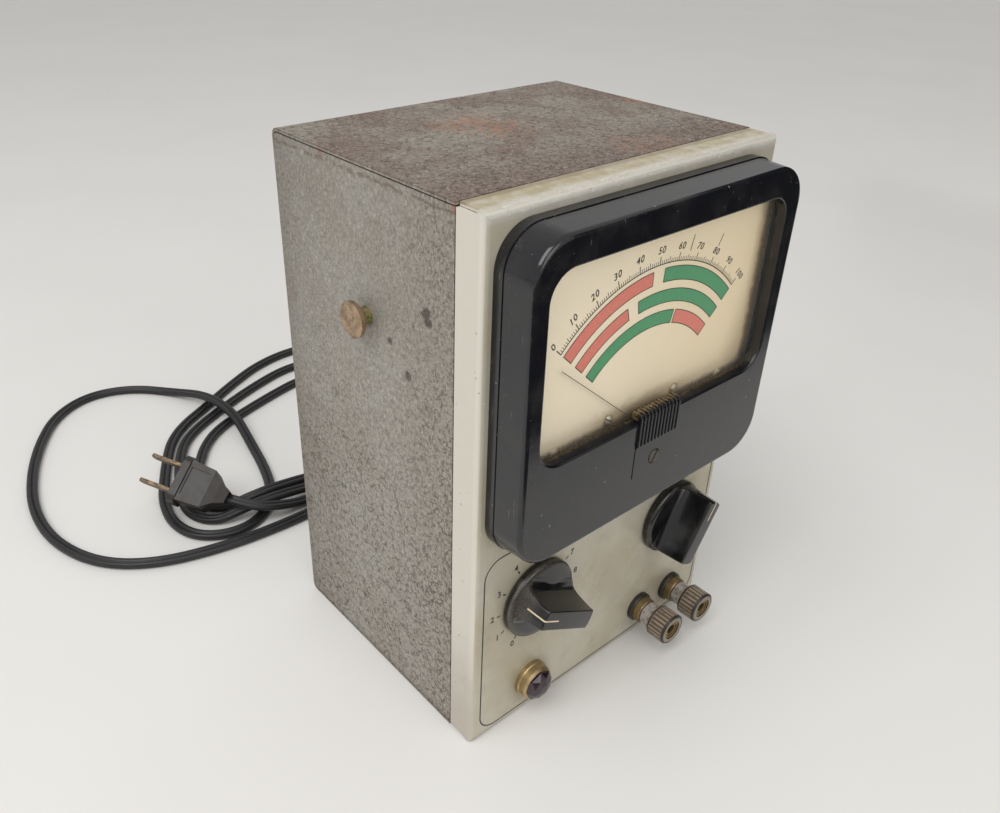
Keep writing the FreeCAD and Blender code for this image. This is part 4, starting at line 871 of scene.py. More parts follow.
@dataclass(frozen=True)
class Laminate:
    """Brown paper laminate, or black moulded washers, with a faint fibre."""

    name: str
    body: Colour
    streak: Colour
    polish: float = 0.45

    def material(self) -> bpy.types.Material:
        """Builds the laminate's nodes and returns the material."""
        sheet = NodeSheet(self.name)
        fibre = sheet.noise(1, 3, 0.6, sheet.stretched((0.5, 2.6, 2.6)))
        spots = sheet.rise(sheet.noise(2.6, 3), 0.44, 0.66)
        base = sheet.blend(fibre * 0.6 + spots * 0.4, self.body, self.streak)
        return sheet.skin(
            Base_Color=base,
            Roughness=self.polish + 0.15 * spots,
            Normal=sheet.bump(fibre, 0.02, 0.4),
        )


@dataclass(frozen=True)
class WaxedPaper:
    """Waxed paper round a winding, with the wire's turns showing."""

    paper: Colour = tone(168, 134, 78)
    wax: Colour = tone(112, 84, 44)

    def material(self) -> bpy.types.Material:
        """Builds the winding's nodes and returns the material."""
        sheet = NodeSheet("waxed_winding")
        turns = sheet.noise(1, 1, 0.5, sheet.stretched((0.2, 0.2, 3.2)))
        stain = sheet.rise(sheet.noise(7, 4, 0.6), 0.4, 0.7)
        base = sheet.blend(stain * 0.7 + turns * 0.3, self.paper, self.wax)
        return sheet.skin(
            Base_Color=base, Roughness=0.4 + 0.2 * stain, Normal=sheet.bump(turns, 0.08, 0.6)
        )


@dataclass(frozen=True)
class PostPlastic:
    """Yellowed moulding of the post caps, pale at the neck, dark at both end rings and in the flutes."""

    tan: Colour = tone(148, 133, 116)
    brown: Colour = tone(90, 77, 66)
    pale: Colour = tone(170, 163, 157)
    scuffed: Colour = tone(116, 106, 99)
    ring: Colour = tone(27, 24, 23)
    lip: Colour = tone(136, 122, 102)
    front: float = -52.4
    middle: float = 34.3
    spread: float = 9.525
    level: float = 13.7
    neck: float = 10.0
    flutes: tuple[float, float] = (10.9, 17.1)
    reach: float = 18.0
    radius: float = 6.4
    mouth: tuple[float, float] = (5.6, 5.3)

    def material(self) -> bpy.types.Material:
        """Builds the moulding's nodes and returns the material."""
        sheet = NodeSheet("post_yellowed")
        x, y, z = sheet.axes()
        out = self.front - y
        radius = distance(abs(x - self.middle) - self.spread, z - self.level)
        cloud = sheet.rise(sheet.noise(3.4, 3, 0.6), 0.4, 0.68)
        ridge = sheet.rise(radius, self.radius - 0.3, self.radius - 0.05)
        base = sheet.blend(ridge * (1 - 0.6 * cloud), self.brown, self.tan)
        ends = sheet.rise(out, self.flutes[1] - 0.1, self.flutes[1] + 0.1)
        ends = ends | sheet.rise(out, self.flutes[0] + 0.1, self.flutes[0] - 0.1)
        base = sheet.blend(ends * 0.92, base, self.ring)
        front = sheet.rise(out, self.reach - 0.15, self.reach - 0.05) * sheet.rise(radius, *self.mouth)
        base = sheet.blend(front * 0.85, base, self.lip)
        scuff = sheet.rise(sheet.noise(1.8, 3, 0.6), 0.4, 0.68)
        clear = sheet.blend(scuff, self.pale, self.scuffed)
        base = sheet.blend(sheet.rise(out, self.neck + 0.06, self.neck - 0.06), base, clear)
        return sheet.skin(
            Base_Color=base,
            Roughness=0.28 + 0.2 * cloud,
            IOR=1.5,
            Normal=sheet.bump(sheet.noise(0.8, 2), 0.015, 0.4),
        )


@dataclass(frozen=True)
class Rubber:
    """Dull black or brown rubber with a dry bloom."""

    name: str
    black: Colour
    bloom: Colour
    polish: float = 0.42
    dusty: float = 0.3

    def material(self) -> bpy.types.Material:
        """Builds the rubber's nodes and returns the material."""
        sheet = NodeSheet(self.name)
        cloud = sheet.rise(sheet.noise(8, 4, 0.65), 0.42, 0.72)
        fine = sheet.noise(0.6, 2)
        speck = sheet.specks(2.4, 0.13, 0.25)
        base = sheet.blend(cloud * self.dusty | speck * 0.4, self.black, self.bloom)
        return sheet.skin(
            Base_Color=base,
            Roughness=self.polish + 0.2 * cloud,
            Normal=sheet.bump(fine, 0.03, 0.4),
        )


def verts_of(geometry: list[object]) -> list[bmesh.types.BMVert]:
    """The vertices among an operator's results."""
    return [item for item in geometry if isinstance(item, bmesh.types.BMVert)]


def faces_at(verts: list[bmesh.types.BMVert]) -> list[bmesh.types.BMFace]:
    """The faces that meet at some vertices."""
    return list({face for vert in verts for face in vert.link_faces})


def faces_of(geometry: list[object]) -> list[bmesh.types.BMFace]:
    """The faces among an operator's results."""
    return [item for item in geometry if isinstance(item, bmesh.types.BMFace)]


def turn_round(mesh: bmesh.types.BMesh, path: list[bmesh.types.BMVert], steps: int) -> None:
    """Turns a chain of points once round the upright axis.

    Args:
        mesh: The mesh that holds the points.
        path: The points in order.
        steps: Number of flats round the axis.
    """
    runs = [mesh.edges.new(pair) for pair in zip(path, path[1:])]
    bmesh.ops.spin(
        mesh,
        geom=path + runs,
        cent=(0, 0, 0),
        axis=(0, 0, 1),
        angle=math.tau,
        steps=steps,
        use_merge=True,
    )
    bmesh.ops.remove_doubles(mesh, verts=mesh.verts, dist=SEAM)


def facing_front(spot: Vector, turn: float = 0.0) -> Matrix:
    """Stands what lies flat up against the panel.

    Args:
        spot: Where its origin goes.
        turn: Its turn in degrees clockwise as seen from the front.

    Returns:
        The matrix that moves it there.
    """
    stand = Matrix.Rotation(math.radians(90), 4, "X")
    return Matrix.Translation(spot) @ Matrix.Rotation(math.radians(turn), 4, "Y") @ stand


def outward(turn: float) -> Vector:
    """The unit vector on the panel that points some degrees clockwise from straight up."""
    angle = math.radians(turn)
    return Vector((math.sin(angle), 0, math.cos(angle)))


class Shape:
    """A mesh in the making, in millimetres of the part's frame."""

    arc_step: float = 1.5
    digit_share: float = 0.7
    digit_swell: float = 0.022
    digit_gap: float = 1.14

    def __init__(self) -> None:
        """Starts an empty mesh."""
        self.mesh = bmesh.new()

    def thicken(self, faces: list[bmesh.types.BMFace], push: Vector) -> None:
        """Gives flat faces a closed thickness.

        Args:
            faces: The faces to thicken.
            push: Where their copies go.
        """
        made = bmesh.ops.extrude_face_region(self.mesh, geom=faces, use_keep_orig=True)
        bmesh.ops.translate(self.mesh, verts=verts_of(made["geom"]), vec=push)

    def sector(
        self, pivot: Vector, radii: tuple[float, float], turn: tuple[float, float], push: Vector
    ) -> None:
        """Adds a flat ring sector that faces the front.

        Args:
            pivot: Its centre.
            radii: Its inner and outer radius.
            turn: Where it starts and ends, in degrees clockwise from straight up.
            push: Its thickness as a vector.
        """
        ends = [self.mesh.verts.new(pivot + Vector((0, 0, radius))) for radius in radii]
        edge = self.mesh.edges.new(ends)
        first = Matrix.Rotation(math.radians(turn[0]), 3, "Y")
        bmesh.ops.rotate(self.mesh, cent=pivot, matrix=first, verts=ends)
        sweep = math.radians(turn[1] - turn[0])
        steps = max(1, round(math.degrees(abs(sweep)) / self.arc_step))
        made = bmesh.ops.spin(
            self.mesh, geom=ends + [edge], cent=pivot, axis=(0, 1, 0), angle=sweep, steps=steps
        )
        grown = self.connected(faces_at(verts_of(made["geom_last"]) + ends))
        self.thicken(list(grown), push)

    @staticmethod
    def connected(faces: list[bmesh.types.BMFace]) -> set[bmesh.types.BMFace]:
        """All faces that hang together with the given ones."""
        found = set(faces)
        fresh = set(faces)
        while fresh:
            beside = {other for face in fresh for edge in face.edges for other in edge.link_faces}
            fresh = beside - found
            found |= fresh
        return found

    def bar(self, centre: Vector, along: Vector, size: tuple[float, float], push: Vector) -> None:
        """Adds a thin flat bar that faces the front.

        Args:
            centre: Its middle.
            along: Unit vector of its length.
            size: Its length and width.
            push: Its thickness as a vector.
        """
        out = Vector((0, -1, 0))
        side = out.cross(along)
        turn = Matrix((along, side, out)).transposed().to_4x4()
        spread = Matrix.Diagonal((size[0], size[1], 1, 1))
        matrix = Matrix.Translation(centre) @ turn @ spread
        made = bmesh.ops.create_grid(self.mesh, x_segments=1, y_segments=1, size=0.5, matrix=matrix)
        self.thicken(faces_at(made["verts"]), push)

    def rod(self, centre: Vector, radius: float, push: Vector) -> None:
        """Adds a round rod or disc along the front-to-back axis.

        Args:
            centre: The middle of one end.
            radius: Its radius.
            push: Its length as a vector.
        """
        place = facing_front(centre)
        ring = bmesh.ops.create_circle(
            self.mesh, cap_ends=True, segments=ROUND_STEPS, radius=radius, matrix=place
        )
        self.thicken(faces_at(ring["verts"]), push)

    def words(
        self, text: str, centre: Vector, turn: float, height: float, push: Vector, slant: float = 0.0
    ) -> None:
        """Adds a number that faces the front.

        Args:
            text: The number.
            centre: The middle of the number.
            turn: Its turn in degrees clockwise.
            height: Height of a digit.
            push: Its thickness as a vector.
            slant: Lean of the digits.
        """
        curve = bpy.data.curves.new("number", "FONT")
        curve.body = text
        curve.align_x = "CENTER"
        curve.align_y = "CENTER"
        curve.size = height / self.digit_share
        curve.shear = slant
        curve.offset = height * self.digit_swell
        curve.space_character = self.digit_gap
        curve.resolution_u = 3
        holder = bpy.data.objects.new("number", curve)
        flat = bpy.data.meshes.new_from_object(holder)
        flat.transform(facing_front(centre, turn))
        before = set(self.mesh.faces)
        self.mesh.from_mesh(flat)
        self.thicken([face for face in self.mesh.faces if face not in before], push)
        bpy.data.objects.remove(holder)
        bpy.data.curves.remove(curve)
        bpy.data.meshes.remove(flat)

    def piece(self, name: str, body: str, slot: str, material: bpy.types.Material) -> bpy.types.Object:
        """Ends the mesh as a piece that rides on a body.

        Args:
            name: The piece's name.
            body: The body it moves with.
            slot: Not used.
            material: Its finish.

        Returns:
            The new object.
        """
        bmesh.ops.remove_doubles(self.mesh, verts=self.mesh.verts, dist=WELD)
        bmesh.ops.recalc_face_normals(self.mesh, faces=self.mesh.faces)
        bmesh.ops.scale(self.mesh, vec=(MM, MM, MM), verts=self.mesh.verts)
        data = bpy.data.meshes.new(name)
        self.mesh.to_mesh(data)
        self.mesh.free()
        data.materials.append(material)
        made = bpy.data.objects.new(name, data)
        bpy.context.scene.collection.objects.link(made)
        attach(made, body)
        LOG.info("%s on %s, %d faces", name, body, len(data.polygons))
        return made


class Verdict(Enum):
    """The two colours of the dial's bands."""

    BAD = "red"
    GOOD = "green"


@dataclass(frozen=True)
class Band:
    """One coloured band of the dial, in scale divisions."""

    verdict: Verdict
    inner: float
    outer: float
    start: float
    end: float


@dataclass
class DialFace:
    """The printed dial under the meter glass."""

    face: float = -59.4
    pivot: float = 114.3
    zero: float = -46.0
    division: float = 0.92
    arc: float = 55.3
    line: float = 0.32
    minor: float = 56.6
    five: float = 57.2
    ten: float = 57.9
    number: float = 59.9
    digit: float = 2.2
    lean: float = 0.18
    ink: float = 0.03
    tick: float = 0.2
    tick_ten: float = 0.32
    mark: float = 0.34
    border: float = 0.26
    tick_lift: float = 0.4
    border_lift: float = 1.2
    margin: tuple[float, float, float, float] = (54.02, 56.9, 116.6, 185.9)
    filler: tuple[float, float, float, float] = (0.0, 14.48, 118.0, 120.88)
    card_thick: float = 0.75
    bands: tuple[Band, ...] = (
        Band(Verdict.BAD, 49.2, 53.7, 0, 47.1),
        Band(Verdict.GOOD, 49.2, 53.7, 53.3, 100),
        Band(Verdict.BAD, 42.2, 46.4, 0, 32.9),
        Band(Verdict.GOOD, 42.2, 46.4, 39.1, 100),
        Band(Verdict.GOOD, 35.0, 39.4, 0, 65.9),
        Band(Verdict.BAD, 35.0, 39.4, 67.6, 100),
    )
    marks: tuple[tuple[float, float, float], ...] = ((65.2, 58.2, 63.3), (80.0, 61.7, 65.8))

    def turn(self, division: float) -> float:
        """The angle of a scale division in degrees clockwise from straight up."""
        return self.zero + self.division * division

    def centre(self, lift: float = 0.0) -> Vector:
        """The needle's pivot on the dial's face, lifted off it by some millimetres."""
        return Vector((0, self.face - PRINT_GAP - lift, self.pivot))

    def spoke(
        self, shape: Shape, division: float, low: float, high: float, width: float, lift: float
    ) -> None:
        """Adds a line that points away from the pivot.

        Args:
            shape: The mesh to add it to.
            division: Its place on the scale.
            low: Radius of its inner end.
            high: Radius of its outer end.
            width: Its width.
            lift: Its lift off the dial.
        """
        along = outward(self.turn(division))
        middle = self.centre(lift) + along * ((low + high) / 2)
        shape.bar(middle, along, (high - low, width), Vector((0, -self.ink, 0)))

    def margins(self, card: bpy.types.Material) -> None:
        """Builds the card's side margins and the two bits that close its notch beside the hood.

        Args:
            card: The card's finish.
        """
        shape = Shape()
        push = Vector((0, -self.card_thick, 0))
        for near, far, low, high in (self.margin, self.filler):
            for sign in (-1, 1):
                spot = Vector((sign * (near + far) / 2, self.face + self.card_thick, (low + high) / 2))
                shape.bar(spot, Vector((0, 0, 1)), (high - low, far - near), push)
        shape.piece("dial_margins", "tester", "dial_card", card)

    def build(self) -> None:
        """Builds the bands and the black print."""
        push = Vector((0, -self.ink, 0))
        inks = {
            Verdict.BAD: Ink("dial_red_ink", tone(213, 118, 102), tone(222, 146, 126), 0.4),
            Verdict.GOOD: Ink("dial_green_ink", tone(68, 146, 98), tone(102, 164, 120), 0.4),
        }
        for verdict in Verdict:
            shape = Shape()
            for band in self.bands:
                if band.verdict is verdict:
                    turn = (self.turn(band.start), self.turn(band.end))
                    shape.sector(self.centre(), (band.inner, band.outer), turn, push)
            shape.piece(f"dial_bands_{verdict.value}", "tester", "dial_card", inks[verdict].material())
        black = Shape()
        self.scale(black, push)
        self.borders(black, push)
        ink = Ink("dial_black_ink", tone(46, 42, 37), tone(80, 72, 60), 0.4)
        black.piece("dial_scale", "tester", "dial_card", ink.material())

    def scale(self, shape: Shape, push: Vector) -> None:
        """Adds the scale's arc, ticks, marks and numbers.

        Args:
            shape: The mesh to add them to.
            push: Their thickness as a vector.
        """
        span = (self.turn(0), self.turn(100))
        shape.sector(self.centre(), (self.arc - self.line / 2, self.arc + self.line / 2), span, push)
        for division in range(101):
            high = self.ten if division % 10 == 0 else self.five if division % 5 == 0 else self.minor
            width = self.tick_ten if division % 10 == 0 else self.tick
            self.spoke(shape, division, self.arc, high, width, self.ink * self.tick_lift)
        for division, low, high in self.marks:
            self.spoke(shape, division, low, high, self.mark, 0.0)
        for division in range(0, 101, 10):
            spot = self.centre() + outward(self.turn(division)) * self.number
            shape.words(str(division), spot, self.turn(division), self.digit, push, self.lean)

    def borders(self, shape: Shape, push: Vector) -> None:
        """Adds the black lines round the bands.

        Args:
            shape: The mesh to add them to.
            push: Their thickness as a vector.
        """
        lift = self.ink * self.border_lift
        half = self.border / 2
        for band in self.bands:
            turn = (self.turn(band.start), self.turn(band.end))
            for radius in (band.inner, band.outer):
                shape.sector(self.centre(lift), (radius - half, radius + half), turn, push)
            for division in (band.start, band.end):
                self.spoke(shape, division, band.inner, band.outer, self.border, lift * self.border_lift)


@dataclass
class Needle:
    """The hair-thin needle with its hub and balance weight."""

    pivot: float = 114.3
    back: float = -60.5
    thick: float = 0.4
    turn: float = -50.0
    reach: float = 52.3
    wide: float = 0.22
    tail: float = 6.5
    hub: tuple[float, float] = (0.6, 2.1)
    weight: tuple[float, float] = (3.0, 3.0)

    def build(self, material: bpy.types.Material) -> None:
        """Builds the needle and replaces the plain one.

        Args:
            material: The needle's finish.
        """
        shape = Shape()
        push = Vector((0, -self.thick, 0))
        along = outward(self.turn)
        centre = Vector((0, self.back, self.pivot))
        middle = centre + along * ((self.reach - self.tail) / 2)
        shape.bar(middle, along, (self.reach + self.tail, self.wide), push)
        shape.bar(centre - along * self.tail, along, self.weight, push)
        shape.sector(centre, self.hub, (0.0, 360.0), push)
        piece = shape.piece("needle", "movement", "light_metal", material)
        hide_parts("pointer")


@dataclass
class PivotHood:
    """The ribbed hood over the needle's pivot and the flush patch with the zero screw's hole."""

    half: float = 9.8
    body: tuple[tuple[float, float], ...] = (
        (-66.9, 112.0),
        (-67.3, 112.0),
        (-67.3, 123.3),
        (-66.9, 123.9),
        (-66.4, 124.1),
        (-63.7, 124.2),
        (-63.7, 121.8),
        (-66.9, 121.8),
    )
    rib: tuple[tuple[float, float], ...] = (
        (-66.9, 112.3),
        (-67.75, 112.7),
        (-67.75, 123.6),
        (-67.3, 124.3),
        (-66.6, 124.6),
        (-63.7, 124.7),
        (-63.7, 121.8),
        (-66.9, 121.8),
    )
    count: int = 12
    span: float = 18.5
    wide: float = 0.8
    round: float = 0.16
    patch: tuple[float, float] = (100.4, 112.6)
    patch_half: float = 9.92
    patch_back: float = -66.3
    patch_thick: float = 0.8
    hole: tuple[float, float] = (105.5, 2.7)
    hole_steps: int = 40

    def build(self, material: bpy.types.Material) -> None:
        """Builds the hood with its ribs and patch and replaces the plain one.

        Args:
            material: The moulding's finish.
        """
        shape = Shape()
        self.slab(shape, self.body, -self.half, self.half)
        step = self.span / (self.count - 1)
        for number in range(self.count):
            left = -self.span / 2 + number * step - self.wide / 2
            edges = self.slab(shape, self.rib, left, left + self.wide)
            bmesh.ops.bevel(
                shape.mesh,
                geom=edges,
                offset=self.round,
                affect="EDGES",
                segments=2,
                profile=0.5,
                material=-1,
            )
        self.plate(shape)
        piece = shape.piece("pivot_hood", "tester", "bakelite", material)
        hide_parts("pivot_cover")

    @staticmethod
    def slab(
        shape: Shape, outline: tuple[tuple[float, float], ...], left: float, right: float
    ) -> list[bmesh.types.BMEdge]:
        """Adds a side outline stretched across the hood.

        Args:
            shape: The mesh to add it to.
            outline: The outline's points, front to back and up.
            left: Where it starts.
            right: Where it ends.

        Returns:
            The slab's edges.
        """
        face = shape.mesh.faces.new([shape.mesh.verts.new((left, y, z)) for y, z in outline])
        shape.thicken([face], Vector((right - left, 0, 0)))
        return list({edge for part in shape.connected([face]) for edge in part.edges})

    def plate(self, shape: Shape) -> None:
        """Adds the patch with its round hole.

        Args:
            shape: The mesh to add it to.
        """
        low, high = self.patch
        side = self.patch_half
        corners = [(-side, low), (side, low), (side, high), (-side, high)]
        rim = [shape.mesh.verts.new((x, self.patch_back, z)) for x, z in corners]
        edges = [shape.mesh.edges.new(pair) for pair in zip(rim, rim[1:] + rim[:1])]
        place = facing_front(Vector((0, self.patch_back, self.hole[0])))
        ring = bmesh.ops.create_circle(
            shape.mesh, segments=self.hole_steps, radius=self.hole[1], matrix=place
        )
        edges += list({edge for vert in ring["verts"] for edge in vert.link_edges})
        filled = bmesh.ops.triangle_fill(shape.mesh, use_beauty=True, edges=edges, normal=(0, -1, 0))
        shape.thicken(faces_of(filled["geom"]), Vector((0, -self.patch_thick, 0)))


@dataclass(frozen=True)
class SlottedHead:
    """A turned screw head that its slot cuts in two."""

    dome: tuple[tuple[float, float], ...]
    slot: float

    def add(self, shape: Shape, spot: Vector, turn: float) -> None:
        """Adds the head's two halves.

        Args:
            shape: The mesh to add them to.
            spot: The middle of the head's foot.
            turn: Turn of the slot in degrees.
        """
        for side in (-1, 1):
            half = self.half(side)
            bmesh.ops.transform(half, matrix=facing_front(spot, turn), verts=half.verts)
            data = bpy.data.meshes.new("half_head")
            half.to_mesh(data)
            half.free()
            shape.mesh.from_mesh(data)
            bpy.data.meshes.remove(data)

    def half(self, side: int) -> bmesh.types.BMesh:
        """Turns the head and keeps one half of it.

        Args:
            side: The side of the slot that is kept, -1 or 1.

        Returns:
            The half, with the screw's axis upright.
        """
        mesh = bmesh.new()
        path = [mesh.verts.new((radius, 0, rise)) for radius, rise in self.dome]
        turn_round(mesh, path, ROUND_STEPS)
        bmesh.ops.holes_fill(mesh, edges=[edge for edge in mesh.edges if edge.is_boundary])
        everything = list(mesh.verts) + list(mesh.edges) + list(mesh.faces)
        wall = (0, side * self.slot, 0)
        bmesh.ops.bisect_plane(mesh, geom=everything, plane_co=wall, plane_no=(0, side, 0), clear_inner=True)
        bmesh.ops.holes_fill(mesh, edges=[edge for edge in mesh.edges if edge.is_boundary])
        return mesh


@dataclass
class DialScrews:
    """The two slotted screw heads that hold the dial plate, seen beside the hood."""

    face: float = -59.4
    offset: float = 15.9
    level: float = 121.8
    slot: float = 0.3
    turns: tuple[float, float] = (35.0, -20.0)
    dome: tuple[tuple[float, float], ...] = (
        (0.0, 1.0),
        (0.7, 0.95),
        (1.25, 0.7),
        (1.55, 0.3),
        (1.6, 0.0),
    )

    def build(self) -> None:
        """Builds both heads."""
        shape = Shape()
        head = SlottedHead(self.dome, self.slot)
        for sign, turn in zip((-1, 1), self.turns):
            head.add(shape, Vector((sign * self.offset, self.face, self.level)), turn)
        metal = PlainMetal("dial_screw_metal", tone(222, 214, 194), tone(140, 120, 88), 0.3, 0.6)
        shape.piece("dial_screw_heads", "tester", "steel", metal.material())


@dataclass
class ZeroScrew:
    """The zero screw in the hood's patch, with its slot, shank and offset pin."""

    radius: float = 2.45
    head: float = 1.25
    depth: float = 0.6
    chamfer: float = 0.2
    shank: float = 1.5
    pin: float = 0.5
    pin_offset: float = 1.2
    pin_length: float = 1.25
    slot: float = 0.35
    turn: float = -58.0
    sunk: float = 0.05

    def build(self, material: bpy.types.Material) -> None:
        """Builds the screw and replaces the plain one.

        Args:
            material: The screw's finish.
        """
        low, high = (Vector(corner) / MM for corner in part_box("zero_screw"))
        length = high.y - low.y
        stem = length - self.pin_length
        centre = Vector((0, low.y, (low.z + high.z) / 2))
        dome = (
            (0.0, self.depth),
            (self.radius - self.chamfer, self.depth),
            (self.radius, self.depth - self.chamfer),
            (self.radius, -self.sunk),
        )
        shape = Shape()
        SlottedHead(dome, self.slot).add(shape, centre + Vector((0, self.depth, 0)), self.turn)
        rods = (
            (self.radius, 0.0, self.depth, self.head),
            (self.shank, 0.0, self.head - self.sunk, stem),
            (self.pin, self.pin_offset, stem - self.sunk, length),
        )
        for radius, offset, start, end in rods:
            shape.rod(centre + Vector((0, start, offset)), radius, Vector((0, end - start, 0)))
        piece = shape.piece("zero_screw_slotted", "zero_adjuster", "bakelite", material)
        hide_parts("zero_screw")


@dataclass
class PanelPrint:
    """The frame line and the numbers printed on the panel."""

    face: float = -52.4
    left: float = -59.4
    right: float = 60.3
    low: float = 2.6
    high: float = 81.0
    corner: float = 7.5
    line: float = 0.5
    knob_x: float = -35.5
    knob_z: float = 55.15
    ticks: int = 11
    tick_turn: tuple[float, float] = (-150.0, 30.0)
    tick_low: float = 16.2
    tick_high: float = 17.7
    tick_wide: float = 0.55
    number: float = 19.7
    digit: float = 2.4
    ink: float = 0.03

    def build(self) -> None:
        """Builds the frame line, the ticks and the numbers as one piece."""
        push = Vector((0, -self.ink, 0))
        shape = Shape()
        self.frame_line(shape, push)
        centre = Vector((self.knob_x, self.face - PRINT_GAP, self.knob_z))
        first, step = self.tick_turn
        for count in range(self.ticks):
            along = outward(first + step * count)
            middle = centre + along * ((self.tick_low + self.tick_high) / 2)
            shape.bar(middle, along, (self.tick_high - self.tick_low, self.tick_wide), push)
            shape.words(str(count), centre + along * self.number, 0.0, self.digit, push)
        ink = Ink("panel_black_ink", tone(44, 42, 40), tone(96, 90, 82), 0.35)
        shape.piece("panel_print", "tester", "panel_paint", ink.material())

    def frame_line(self, shape: Shape, push: Vector) -> None:
        """Adds the rounded frame line.

        Args:
            shape: The mesh to add it to.
            push: Its thickness as a vector.
        """
        size = Vector((self.right - self.left, self.high - self.low))
        middle = Vector(((self.left + self.right) / 2, self.face - PRINT_GAP, (self.low + self.high) / 2))
        matrix = facing_front(middle) @ Matrix.Diagonal((size.x, size.y, 1, 1))
        made = bmesh.ops.create_grid(shape.mesh, x_segments=1, y_segments=1, size=0.5, matrix=matrix)
        rounded = bmesh.ops.bevel(
            shape.mesh,
            geom=made["verts"],
            offset=self.corner,
            affect="VERTICES",
            segments=10,
            profile=0.5,
            material=-1,
        )
        sheet = list(shape.connected(faces_at(rounded["verts"])))
        ring = bmesh.ops.inset_region(
            shape.mesh, faces=sheet, thickness=self.line, use_boundary=True, use_even_offset=True
        )
        bmesh.ops.delete(shape.mesh, geom=sheet, context="FACES")
        shape.thicken(ring["faces"], push)


